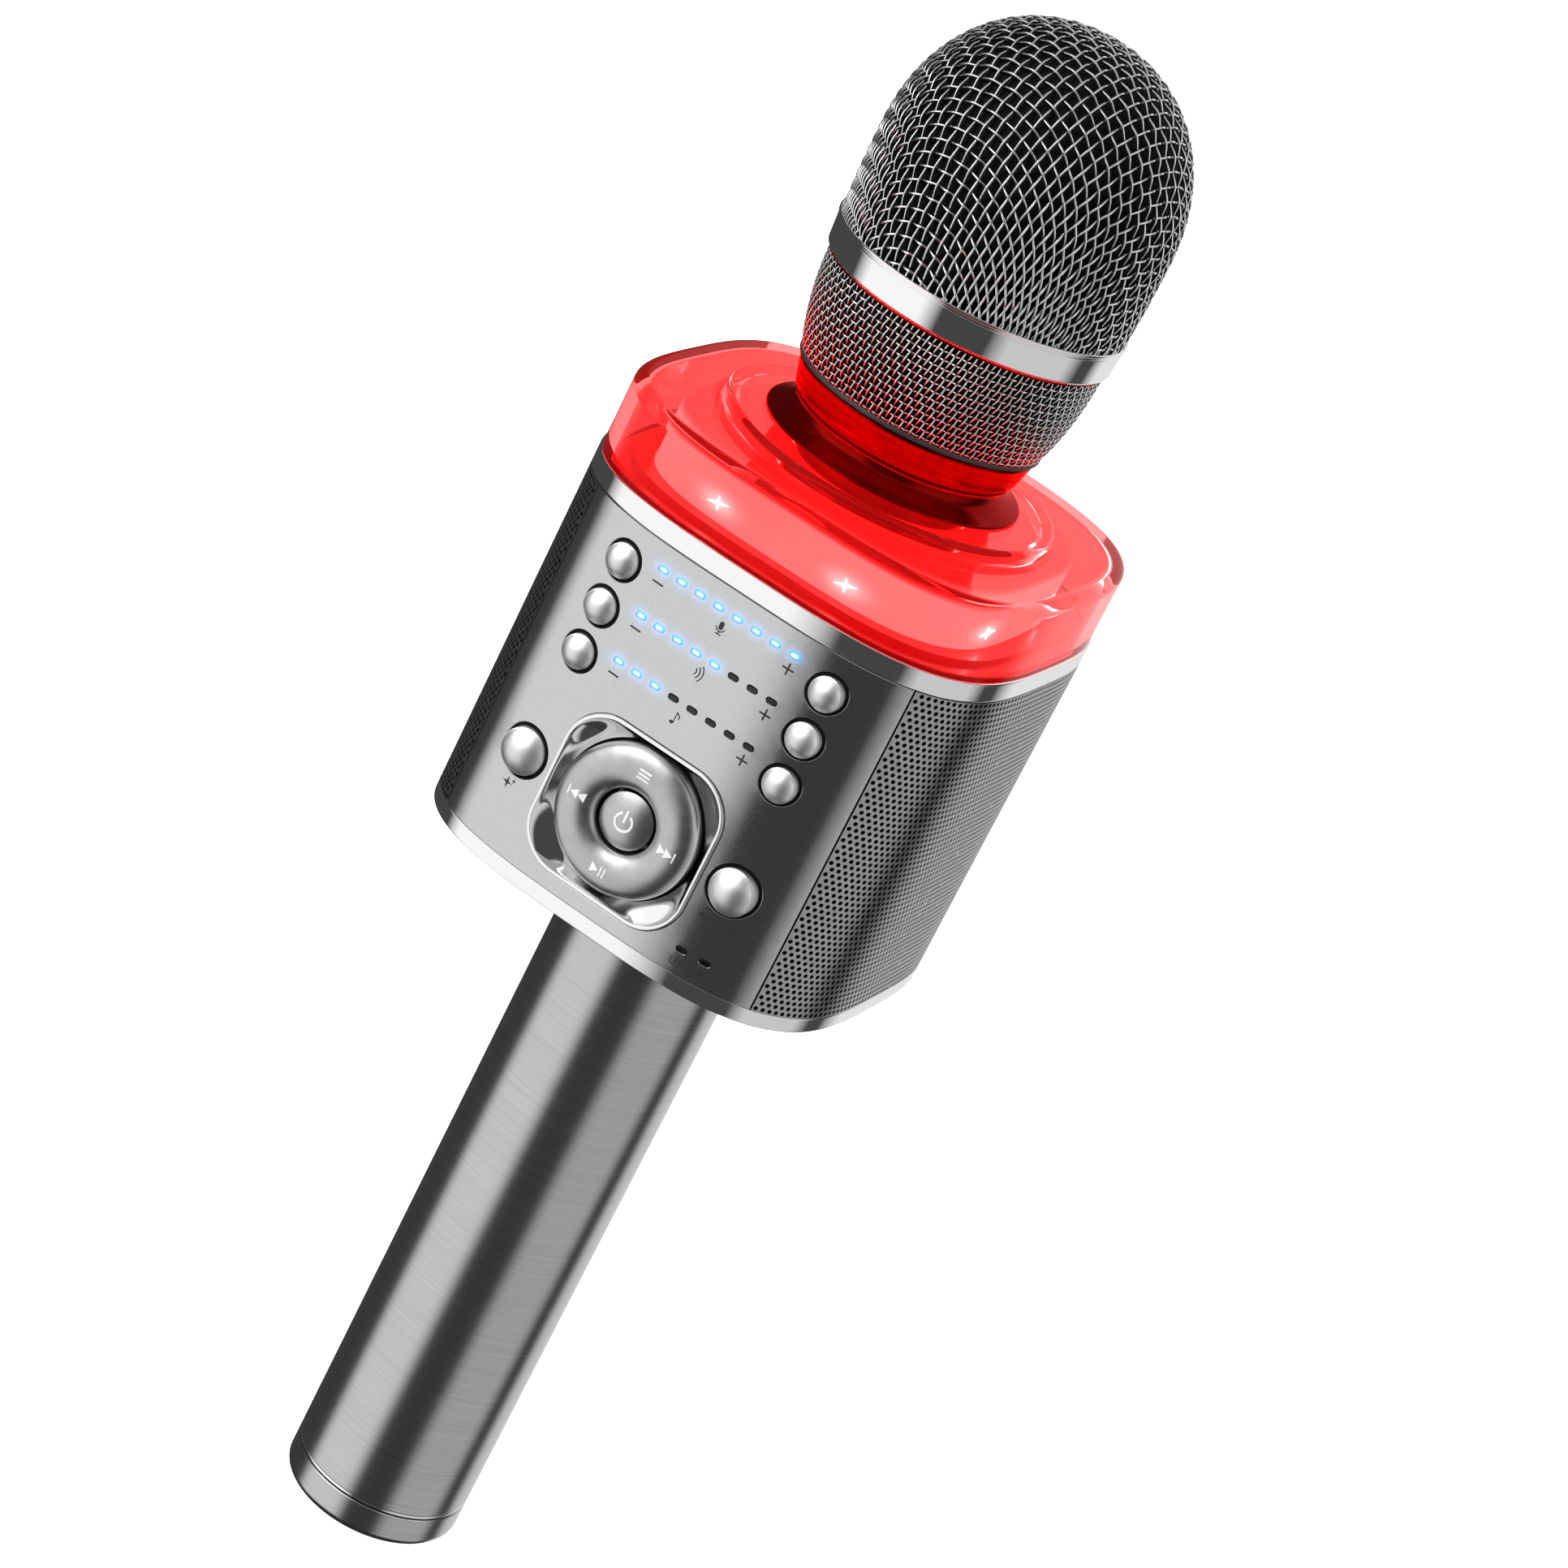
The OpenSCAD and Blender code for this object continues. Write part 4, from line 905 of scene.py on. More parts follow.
def build_bezel():
    """Polished rounded-square dish round the pad: a thin raised lip, then a slope down to the ring."""
    count = 240
    angle = np.arange(count) * TAU / count
    hole = PAD_R + BUTTON_GAP
    front = HALF_D + 0.15 * MM
    stations = [(0.0, 4.1), (0.0, 0.25), (0.12, 0.06), (0.35, 0.0), (0.6, 0.06), (0.8, 0.3)]
    rings = []
    for inset, sink in stations:
        reach = square_reach(angle, 14.14 * MM - inset * MM, 13.54 * MM - inset * MM, (7.45 - inset) * MM)
        rings.append((reach, front - sink * MM))
    outer = square_reach(angle, 13.3 * MM, 12.7 * MM, 6.6 * MM)
    for t in np.linspace(0.12, 1, 9):
        reach = outer * (1 - t) + hole * t
        rings.append((reach, front - (0.3 + 1.9 * t ** 0.8) * MM))
    rings += [(np.full(count, hole), front - 2.5 * MM), (np.full(count, hole), front - 4.1 * MM)]
    shapes = [np.column_stack([reach * np.cos(angle), np.full(count, -height), PAD_Z + reach * np.sin(angle)])
              for reach, height in rings]
    verts, faces = loft(shapes)
    obj = make_object("pad_frame", verts, [f[::-1] for f in faces], CHROME, "housing", 35, "chrome")
    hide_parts("pad_bezel")


def pad_height(r):
    """Height of the ring pad's surface above the shared frame's XZ plane, at a distance r from its centre."""
    inner, outer = 5.0 * MM, PAD_R
    t = np.clip((np.asarray(r) - inner) / (outer - inner), 0, 1)
    arch = np.sqrt(np.maximum(0, 1 - (2 * t - 1) ** 2))
    return HALF_D - 0.9 * MM + 1.9 * MM * arch ** 0.95


def build_pad():
    inner, outer = 5.0 * MM, PAD_R
    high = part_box("ring_pad")[1]
    back = HALF_D - 2.9 * MM
    steps = 0.5 - 0.5 * np.cos(np.linspace(0, math.pi, 33))
    crown = [(inner + (outer - inner) * t, float(pad_height(inner + (outer - inner) * t))) for t in steps]
    profile = [(inner, back + 0.1 * MM)] + crown + [(outer, back + 0.2 * MM), (outer - 0.2 * MM, back),
                                                     (inner + 0.1 * MM, back)]
    verts, faces = lathe(profile[::-1], 192)
    shapes = [(face_front(verts, 0, PAD_Z), faces)]
    for du, dv in ((1, 0), (-1, 0), (0, 1), (0, -1)):
        post = solid_lathe([(0.0, back + 0.1 * MM), (1 * MM, back + 0.1 * MM), (1 * MM, -high.y + 0.1 * MM),
                            (0.9 * MM, -high.y), (0.0, -high.y)], 32)
        shapes.append((face_front(post[0], du * 9.3 * MM, PAD_Z + dv * 9.3 * MM), post[1]))
    verts, faces = join(shapes)
    obj = make_object("direction_ring", verts, faces, PAD_CHROME, "pad", 40, "button_chrome")
    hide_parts("ring_pad")


# ---------------------------------------------------------------- marks, all generic pictograms

def stroke(points, width, closed=False):
    """A polyline drawn with a width, as one outline for each segment, with round ends."""
    pts = [np.array(p, float) for p in points]
    if closed:
        pts.append(pts[0])
    loops = []
    for a, b in zip(pts[:-1], pts[1:]):
        along = (b - a) / max(np.linalg.norm(b - a), 1e-12)
        base = math.atan2(along[1], along[0])
        ring = [b + width / 2 * np.array([math.cos(base + t), math.sin(base + t)])
                for t in np.linspace(-math.pi / 2, math.pi / 2, 5)]
        ring += [a + width / 2 * np.array([math.cos(base + t), math.sin(base + t)])
                 for t in np.linspace(math.pi / 2, 3 * math.pi / 2, 5)]
        loops.append(np.array(ring))
    return loops


def arc(cu, cv, radius, start, end, width, steps=10):
    angle = np.radians(np.linspace(start, end, steps + 1))
    return stroke([(cu + radius * math.cos(a), cv + radius * math.sin(a)) for a in angle], width)


def minus(s):
    return stroke([(-s, 0), (s, 0)], 0.32 * s)


def plus(s):
    return minus(s) + stroke([(0, -s), (0, s)], 0.32 * s)


def triangle(u, v, s):
    return [np.array([(u - 0.5 * s, v - 0.6 * s), (u + 0.5 * s, v), (u - 0.5 * s, v + 0.6 * s)])]


def bar(u, v, s):
    return [np.array([(u - 0.09 * s, v - 0.6 * s), (u + 0.09 * s, v - 0.6 * s),
                      (u + 0.09 * s, v + 0.6 * s), (u - 0.09 * s, v + 0.6 * s)])]


def oval(u, v, half_u, half_v, count):
    return [np.array([(u + half_u * math.cos(a), v + half_v * math.sin(a))
                      for a in np.linspace(0, TAU, count + 1)[:-1]])]


def mirrored(loops):
    return [loop[::-1] * np.array([-1, 1]) for loop in loops]


def skip_mark(s):
    return triangle(-0.7 * s, 0, s) + triangle(0.25 * s, 0, s) + bar(0.95 * s, 0, s)


def play_mark(s):
    return triangle(-0.45 * s, 0, s) + bar(0.3 * s, 0, s) + bar(0.75 * s, 0, s)


def mode_mark(s):
    return sum((stroke([(-0.7 * s, v * s), (0.7 * s, v * s)], 0.2 * s) for v in (-0.5, 0, 0.5)), [])


def power_mark(s):
    return arc(0, 0, 0.75 * s, 125, 415, 0.19 * s, 20) + stroke([(0, 0.05 * s), (0, 0.95 * s)], 0.19 * s)


def voice_mark(s):
    capsule = [np.array([(0.33 * s * math.cos(a), (0.45 if math.sin(a) > 0 else -0.05) * s + 0.33 * s * math.sin(a))
                         for a in np.linspace(0, TAU, 25)[:-1]])]
    return capsule + arc(0, 0.0, 0.62 * s, 190, 350, 0.14 * s) + stroke([(0, -0.62 * s), (0, -1.0 * s)], 0.14 * s) \
        + stroke([(-0.4 * s, -1.0 * s), (0.4 * s, -1.0 * s)], 0.14 * s)


def echo_mark(s):
    return sum((arc(-0.9 * s, 0, r * s, -42, 42, 0.15 * s) for r in (0.6, 1.1, 1.6)), [])


def note_mark(s):
    head = oval(-0.35 * s, -0.7 * s, 0.3 * s, 0.23 * s, 16)
    return head + stroke([(-0.08 * s, -0.65 * s), (-0.08 * s, 0.8 * s)], 0.14 * s) \
        + stroke([(-0.08 * s, 0.8 * s), (0.4 * s, 0.45 * s), (0.45 * s, 0.05 * s)], 0.15 * s)


def spark_mark(s):
    out = []
    for u, v, k in ((-0.2, -0.1, 1.0), (0.85, 0.6, 0.45)):
        out.append(np.array([((u + k * (1.0 if i % 2 == 0 else 0.26) * math.cos(i * math.pi / 4)) * s,
                              (v + k * (1.0 if i % 2 == 0 else 0.26) * math.sin(i * math.pi / 4)) * s) for i in range(8)]))
    return out


def speaker_mark(s):
    cone = [np.array([(-0.9, -0.3), (-0.5, -0.3), (0.0, -0.75), (0.0, 0.75), (-0.5, 0.3), (-0.9, 0.3)]) * s]
    return cone + arc(0.1 * s, 0, 0.35 * s, -50, 50, 0.14 * s) + arc(0.1 * s, 0, 0.75 * s, -50, 50, 0.14 * s)


def sun_mark(s):
    disc = oval(0, 0, 0.38 * s, 0.38 * s, 16)
    rays = []
    for k in range(8):
        c, d = math.cos(k * math.pi / 4), math.sin(k * math.pi / 4)
        rays += stroke([(0.6 * s * c, 0.6 * s * d), (0.9 * s * c, 0.9 * s * d)], 0.15 * s)
    return disc + rays


def battery_mark(s):
    frame_ = stroke([(-0.9 * s, -0.45 * s), (0.7 * s, -0.45 * s), (0.7 * s, 0.45 * s), (-0.9 * s, 0.45 * s)],
                    0.13 * s, closed=True)
    return frame_ + stroke([(0.95 * s, -0.18 * s), (0.95 * s, 0.18 * s)], 0.13 * s) \
        + stroke([(-0.35 * s, 0), (0.15 * s, 0)], 0.13 * s) + stroke([(-0.1 * s, -0.22 * s), (-0.1 * s, 0.22 * s)], 0.13 * s)


def link_mark(s):
    dot = oval(0, -0.6 * s, 0.16 * s, 0.16 * s, 12)
    return dot + arc(0, -0.6 * s, 0.6 * s, 45, 135, 0.15 * s) + arc(0, -0.6 * s, 1.1 * s, 45, 135, 0.15 * s)


def placed(loops, u, v):
    return [loop + np.array([u, v]) for loop in loops]


def printed(loops, surface, height, thick):
    """Thin closed slabs in the shape of 2D loops, lying on a surface."""
    shapes = []
    for loop in loops:
        points, triangles = triangulate(loop, [])
        top = surface(points[:, 0], points[:, 1], -height)
        low = surface(points[:, 0], points[:, 1], thick - height)
        n = len(points)
        p = top[triangles]
        if np.cross(p[:, 1] - p[:, 0], p[:, 2] - p[:, 0])[:, 1].mean() > 0:
            triangles = triangles[:, ::-1]
        faces = triangles.tolist() + (triangles[:, ::-1] + n).tolist()
        faces += [[i, (i + 1) % n, (i + 1) % n + n, i + n] for i in range(n)]
        shapes.append((np.concatenate([top, low]), faces))
    return join(shapes)


def pad_surface(u, v, depth):
    """The ring pad's surface, sunk by depth along Y."""
    r = np.hypot(u, v - PAD_Z)
    return np.stack([u, -(pad_height(r) - depth), v], 1)


def build_marks():
    panel = []
    sign = 0.85 * MM
    for row, mark in (("mic", voice_mark), ("echo", echo_mark), ("music", note_mark)):
        z = node_centre(f"button_{row}_minus")[1]
        panel += placed(minus(sign), -11.7 * MM, z + 0.35 * MM)
        panel += placed(plus(sign), 11.8 * MM, z + 0.3 * MM)
        panel += placed(mark(1.15 * MM), 0, z + 0.1 * MM)
    xl, zl = node_centre("button_voice")
    xr, zr = node_centre("button_light")
    panel += placed(spark_mark(1.0 * MM), xl - 0.2 * MM, zl - 5.7 * MM)
    panel += placed(speaker_mark(0.95 * MM), xr - 2.0 * MM, zr - 5.6 * MM)
    panel += placed(stroke([(-0.25 * MM, -0.7 * MM), (0.25 * MM, 0.7 * MM)], 0.16 * MM), xr + 0.1 * MM, zr - 5.6 * MM)
    panel += placed(sun_mark(1.0 * MM), xr + 2.0 * MM, zr - 5.6 * MM)
    panel += placed(battery_mark(0.95 * MM), 16.5 * MM, BODY_Z + 4.5 * MM)
    panel += placed(link_mark(0.95 * MM), 20.4 * MM, BODY_Z + 4.6 * MM)
    make_object("panel_marks", *printed(panel, front_surface, 0.03 * MM, 0.06 * MM), PRINT, "housing", 30,
                "black_plastic")

    at = 8.35 * MM
    ring = placed(mode_mark(1.3 * MM), 0, PAD_Z + at) + placed(play_mark(1.35 * MM), 0, PAD_Z - at)
    ring += placed(skip_mark(1.35 * MM), at, PAD_Z) + placed(mirrored(skip_mark(1.35 * MM)), -at, PAD_Z)
    make_object("ring_marks", *printed(ring, pad_surface, 0.05 * MM, 0.16 * MM), ENGRAVED, "pad", 30, "chrome")

    crown = -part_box("power_button")[0].y

    def power_surface(u, v, depth):
        r2 = (u ** 2 + (v - PAD_Z) ** 2) / (4.6 * MM) ** 2
        return np.stack([u, -(crown - 0.95 * MM * (1 - np.sqrt(np.maximum(0, 1 - r2))) - depth), v], 1)

    mark = placed(power_mark(1.9 * MM), 0, PAD_Z)
    make_object("power_mark", *printed(mark, power_surface, 0.05 * MM, 0.14 * MM), ENGRAVED, "power", 30, "chrome")


# ---------------------------------------------------------------- light ring and neck

def build_light_cover():
    wall = 1.8 * MM
    rim = 1.6 * MM
    inner_rim = 1.0 * MM
    hole = 14.3 * MM
    tier_edge = 0.9 * MM
    rings = [("body", 0.3 * MM, BODY_TOP), ("body", 0.3 * MM, BODY_TOP + 0.4 * MM)]
    for a in np.linspace(0, math.pi / 2, 8):
        rings.append(("body", 0.3 * MM + rim * (1 - math.cos(a)), COVER_TOP - rim + rim * math.sin(a)))
    rings += [("mix", 0.5, COVER_TOP - 0.05 * MM), ("mix", 0.85, COVER_TOP - 0.12 * MM),
              ("circle", TIER_R + 0.5 * MM, COVER_TOP - 0.1 * MM), ("circle", TIER_R + 0.12 * MM, COVER_TOP + 0.1 * MM)]
    for a in np.linspace(0, math.pi / 2, 6):
        rings.append(("circle", TIER_R - tier_edge * (1 - math.cos(a)), TIER_TOP - tier_edge + tier_edge * math.sin(a)))
    rings += [("circle", hole + 0.2 * MM, TIER_TOP), ("circle", hole, TIER_TOP - 0.2 * MM), ("circle", hole, TIER_TOP - wall),
              ("circle", TIER_R - wall - 0.5 * MM, TIER_TOP - wall), ("circle", TIER_R - wall, TIER_TOP - wall - 0.5 * MM),
              ("circle", TIER_R - wall, COVER_TOP - wall)]
    rings.append(("mix_inner", 0.4, COVER_TOP - wall))
    for a in np.linspace(math.pi / 2, 0, 6):
        rings.append(("body", 0.3 * MM + wall + inner_rim * (1 - math.cos(a)),
                      COVER_TOP - wall - inner_rim + inner_rim * math.sin(a)))
    rings.append(("body", 0.3 * MM + wall, BODY_TOP))
    shapes = []
    for kind, value, z in rings:
        if kind == "body":
            xy = body_ring(value, 288)
        elif kind == "circle":
            xy = circle_ring(value, 288)
        else:
            inner = kind == "mix_inner"
            big = body_ring(0.3 * MM + (wall + inner_rim if inner else rim), 288)
            xy = big * (1 - value) + circle_ring(TIER_R - (wall if inner else 0), 288) * value
        shapes.append(flat_ring(xy, z))
    obj = make_object("clear_cover", *loft(shapes), CLEAR_RED, "housing", 40, "red_clear")
    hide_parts("light_cover")


def build_diffuser():
    """Milky block in the light ring, with a round top edge and nearly upright walls."""
    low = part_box("light_diffuser")[0].z
    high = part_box("light_diffuser")[1].z
    inset = HALF_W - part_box("light_diffuser")[1].x
    wall, edge = 1.3 * MM, 1.6 * MM
    rings = [("body", inset, low)]
    for a in np.linspace(0, math.pi / 2, 7):
        rings.append(("body", inset + edge * (1 - math.cos(a)), high - edge + edge * math.sin(a)))
    rings += [("circle", 16 * MM, high), ("circle", 14.8 * MM, high - 0.3 * MM), ("circle", 14.8 * MM, high - wall)]
    for a in np.linspace(math.pi / 2, 0, 6):
        rings.append(("body", inset + wall + edge * (1 - math.cos(a)), high - wall - edge + edge * math.sin(a)))
    rings.append(("body", inset + wall, low))
    shapes = [flat_ring(body_ring(v, 240) if kind == "body" else circle_ring(v, 240), z) for kind, v, z in rings]
    obj = make_object("glow_diffuser", *loft(shapes), DIFFUSER, "housing", 40, "milky")
    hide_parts("light_diffuser")


def build_red_tray():
    """Thin red tray over the deck and the edge of the light board, seen through the clear wall. Its red glow is painted
    light: the tray emits though it is no lamp.
    """
    board_low, board_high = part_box("led_board")[0].z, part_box("led_board")[1].z
    board = HALF_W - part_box("led_board")[1].x
    inner = HALF_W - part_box("light_diffuser")[1].x - 0.2 * MM
    outer = 2.25 * MM
    profile = [(outer, board_low), (outer, BODY_TOP + 0.15 * MM), (board - 0.6 * MM, BODY_TOP + 0.3 * MM),
               (board - 0.35 * MM, board_high + 0.16 * MM), (inner, board_high + 0.16 * MM),
               (inner, board_high + 0.04 * MM), (board - 0.08 * MM, board_high + 0.04 * MM), (board - 0.08 * MM, board_low)]
    make_object("red_light_tray", *body_loft(profile, 240), RED_TRAY, "housing", 35, "red_gloss")


def build_glints():
    """Painted glints: star-shaped glowing spots on the diffuser's wall, standing in for the glare that the ring lights
    throw.
    """
    shapes = []
    inset = HALF_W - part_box("light_diffuser")[1].x - 0.02 * MM
    for k in range(GLINT_COUNT):
        middle = math.radians(22.5 + 45 * k)
        star = []
        for i in range(8):
            reach = (0.32, 1.9 if i % 4 == 0 else 1.1)[i % 2 == 0] * MM
            turn = i * math.pi / 4 + 0.25
            star.append((reach * math.cos(turn), reach * math.sin(turn)))
        points, triangles = triangulate(np.array(star), [])
        here = body_at(inset, np.array([middle]))[0]
        ahead = body_at(inset, np.array([middle + 1e-3]))[0] - here
        ahead /= np.linalg.norm(ahead)
        out = np.array([ahead[1], -ahead[0]])
        flat = here + points[:, :1] * ahead
        front = np.column_stack([flat + out * 0.22 * MM, GLINT_Z + points[:, 1]])
        rear = np.column_stack([flat + out * 0.02 * MM, GLINT_Z + points[:, 1]])
        n = len(points)
        faces = triangles.tolist() + (triangles[:, ::-1] + n).tolist()
        faces += [[i, (i + 1) % n, (i + 1) % n + n, i + n] for i in range(n)]
        shapes.append((np.concatenate([front, rear]), faces))
    make_object("ring_glints", *join(shapes), GLINT, "housing", 30, "led")


def build_neck():
    top = TIER_TOP
    r = HEAD_LOW_R
    head = GASKET_LOW - 0.1 * MM
    bore = 12.6 * MM
    sleeve = 14 * MM
    thread = 16 * MM
    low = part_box("neck_collar")[0].z
    outer = [(bore, low), (sleeve, low), (sleeve, top + 0.1 * MM), (r + 1 * MM, top + 0.1 * MM),
             (r + 0.9 * MM, top + 0.45 * MM), (r - 0.4 * MM, top + 0.85 * MM), (r - 1.7 * MM, top + 1.5 * MM),
             (r - 2.6 * MM, top + 2.2 * MM), (r - 2.9 * MM, top + 2.9 * MM), (r - 2.9 * MM, top + 3.7 * MM),
             (r - 1.9 * MM, top + 4.05 * MM), (r - 1.3 * MM, top + 5.8 * MM), (r - 0.5 * MM, head - 0.5 * MM),
             (r - 0.6 * MM, head - 0.2 * MM), (thread, head - 0.2 * MM)]
    soft = [0, 0, 0, 0.1 * MM, 0.3 * MM, 0.8 * MM, 0.8 * MM, 0.6 * MM, 0.4 * MM, 0.15 * MM, 0.25 * MM, 0, 0.3 * MM,
            0.1 * MM, 0.1 * MM]
    turns = 6
    z0, z1 = head + 0.1 * MM, NECK_TOP - 0.4 * MM
    for k in range(turns):
        z = z0 + (z1 - z0) * k / turns
        outer += [(thread, z), (thread - 0.35 * MM, z + (z1 - z0) * 0.5 / turns)]
        soft += [0.05 * MM, 0.05 * MM]
    outer += [(thread, z1), (thread - 0.3 * MM, NECK_TOP), (bore, NECK_TOP)]
    soft += [0.05 * MM, 0.05 * MM, 0.1 * MM]
    obj = make_object("red_neck", *lathe(soften(outer, soft, 3)), GLOSS_RED, "housing", 35, "red_gloss")
    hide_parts("neck_collar")


# ---------------------------------------------------------------- head

def build_gasket_and_band():
    r = HEAD_LOW_R
    profile = soften([(r, GASKET_LOW), (r, GASKET_HIGH), (17.4 * MM, GASKET_HIGH), (17.4 * MM, GASKET_LOW)],
                     0.2 * MM, 4)
    obj = make_object("head_gasket", *lathe(profile), RUBBER, "head", slot="black_rubber")
    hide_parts("gasket_ring")
    inner = 20.9 * MM
    band = [(inner, BAND_LOW), (BAND_LOW_R - 0.1 * MM, BAND_LOW), (BAND_LOW_R + 0.05 * MM, BAND_LOW + 0.25 * MM),
            (BAND_LOW_R + 0.40 * MM, BAND_LOW + 0.45 * MM), (BAND_TOP_R - 0.12 * MM, BAND_HIGH - 1.0 * MM),
            (BAND_TOP_R - 0.35 * MM, BAND_HIGH - 0.85 * MM), (BAND_TOP_R - 0.35 * MM, BAND_HIGH - 0.6 * MM),
            (BAND_TOP_R + 0.08 * MM, BAND_HIGH - 0.5 * MM), (BAND_TOP_R + 0.08 * MM, BAND_HIGH - 0.12 * MM),
            (BAND_TOP_R - 0.1 * MM, BAND_HIGH), (inner, BAND_HIGH)]
    obj = make_object("bright_band", *lathe(soften(band, 0.12 * MM, 4)), CHROME, "head", 40, "chrome")
    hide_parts("grille_band")
    seal = soften([(BAND_LOW_R - 0.12 * MM, BAND_LOW + 0.05 * MM), (BAND_LOW_R - 0.12 * MM, BAND_LOW - 0.28 * MM),
                   (BAND_LOW_R - 0.6 * MM, BAND_LOW - 0.28 * MM), (BAND_LOW_R - 0.6 * MM, BAND_LOW + 0.05 * MM)],
                  0.08 * MM, 3)
    make_object("band_red_seal", *lathe(seal[::-1]), GLOSS_RED, "head", 35, "red_gloss")


def build_skirt_liner():
    """Black cloth sleeve behind the fine mesh, from the gasket up to the foam."""
    low, high = GASKET_HIGH + 0.05 * MM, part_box("foam_windscreen")[0].z + 0.25 * MM
    heights = np.linspace(low, high, 16)
    outer = [(float(skirt_radius(z)) - 0.95 * MM, z) for z in heights]
    inner = [(r - 0.35 * MM, z) for r, z in outer[::-1]]
    make_object("skirt_liner", *lathe(outer + inner), BLACK_CLOTH_AND_GAP_SHADE, "head", 35, "foam")


def head_curve():
    """Samples of the head's outer surface from its top down to the skirt's foot, by arc length."""
    u = np.linspace(0, math.pi / 2, 160)
    z_top = WIDE_Z + (DOME_TOP - WIDE_Z) * np.cos(u)
    r_top = dome_radius(z_top)
    z_low = np.linspace(WIDE_Z, BAND_HIGH, 40)[1:]
    share = (WIDE_Z - z_low) / DOME_LOW_H
    r_low = DOME_R - (DOME_R - BAND_TOP_R + 0.3 * MM) * share ** 3
    z_band = np.linspace(BAND_HIGH, BAND_LOW, 20)[1:]
    r_band = np.interp(-z_band, [-BAND_HIGH, -BAND_LOW], [BAND_TOP_R - 0.3 * MM, BAND_LOW_R - 0.2 * MM])
    z_skirt = np.linspace(BAND_LOW, GASKET_HIGH - 3 * MM, 60)[1:]
    r_skirt = skirt_radius(z_skirt)
    r = np.concatenate([r_top, r_low, r_band, r_skirt])
    z = np.concatenate([z_top, z_low, z_band, z_skirt])
    s = np.concatenate([[0], np.cumsum(np.hypot(np.diff(r), np.diff(z)))])
    return s, r, z


NET_EASE = 0.45                 # how far the woven cloth stretches instead of shearing, from 0 to 1


def fishnet(pitch, s_end):
    """One quadrant of a net of equal threads pressed over the head: node[i][j] as (s, angle), NaN past the edge.
    The net is laid on a flatter form of the head, so that its cells shear less than unstretched cloth would."""
    s, r, z = head_curve()
    r = (1 - NET_EASE) * r + NET_EASE * s
    dr = np.gradient(r, s)
    dz = -np.sqrt(np.maximum(0, 1 - dr ** 2))
    z = np.concatenate([[0], np.cumsum((dz[1:] + dz[:-1]) / 2 * np.diff(s))])

    def point(q):
        rr = np.interp(q[0], s, r)
        return np.array([rr * math.cos(q[1]), rr * math.sin(q[1]), np.interp(q[0], s, z)])

    def slopes(q):
        rr, a = np.interp(q[0], s, r), np.interp(q[0], s, dr)
        c, d = math.cos(q[1]), math.sin(q[1])
        return np.array([[a * c, -rr * d], [a * d, rr * c], [np.interp(q[0], s, dz), 0]])

    size = int(s_end / pitch) + 2
    net = np.full((size * 2, size * 2, 2), np.nan)
    net[0, 0] = (0, math.pi / 4)
    for i in range(1, size):
        net[i, 0] = (i * pitch, 0)
        net[0, i] = (i * pitch, math.pi / 2)
    for total in range(2, size * 4 - 2):
        for i in range(max(1, total - size * 2 + 1), min(total, size * 2)):
            j = total - i
            a, b, c = net[i - 1, j], net[i, j - 1], net[i - 1, j - 1]
            if np.isnan(a[0]) or np.isnan(b[0]):
                continue
            pa, pb, pc = point(a), point(b), point(c)
            guess = pa + pb - pc
            q = np.array([max(a[0], b[0]) + 0.5 * pitch * math.cos(0.5), math.atan2(guess[1], guess[0])])
            if c[0] > 0:
                q[0] = a[0] + b[0] - c[0]
            for _ in range(12):
                p = point(q)
                miss = np.array([np.dot(p - pa, p - pa) - pitch ** 2, np.dot(p - pb, p - pb) - pitch ** 2])
                jac = 2 * np.array([(p - pa) @ slopes(q), (p - pb) @ slopes(q)])
                det = np.linalg.det(jac)
                if abs(det) < 1e-16:
                    break
                step = np.linalg.solve(jac, miss)
                q = q - np.clip(step, [-pitch, -0.3], [pitch, 0.3])
                if abs(step[0]) < 1e-8:
                    break
            p = point(q)
            fits = all(abs(np.linalg.norm(p - end) - pitch) < 0.02 * pitch for end in (pa, pb))
            if fits and q[0] <= s_end + pitch and min(a[0], b[0]) <= q[0] + 1e-9:
                net[i, j] = q
    return net


def wire_paths(net, family, turn):
    """Runs of nodes along each wire of one family: lists of (s, angle, sign of the weave)."""
    size = net.shape[0]
    runs = []
    for i in range(-size + 1, size):
        run = []
        for j in range(-size + 1, size):
            ii, jj = (abs(i), abs(j)) if family == 0 else (abs(j), abs(i))
            su, sv = (i, j) if family == 0 else (j, i)
            q = net[ii, jj]
            if np.isnan(q[0]):
                if len(run) > 1:
                    runs.append(run)
                run = []
                continue
            angle = q[1]
            if ii == 0 and jj == 0:
                angle = 0.0
            if su < 0:
                angle = math.pi - angle
            if sv < 0:
                angle = -angle
            over = 1 if (i + j + family) % 2 == 0 else -1
            run.append((q[0], angle + turn, over))
        if len(run) > 1:
            runs.append(run)
    return runs


SKIRT_LEAN = 9.0               # radians by which an upright of the skirt turns for each metre of height
CRIMP = 0.53                   # height of a wire's wave, in wire diameters


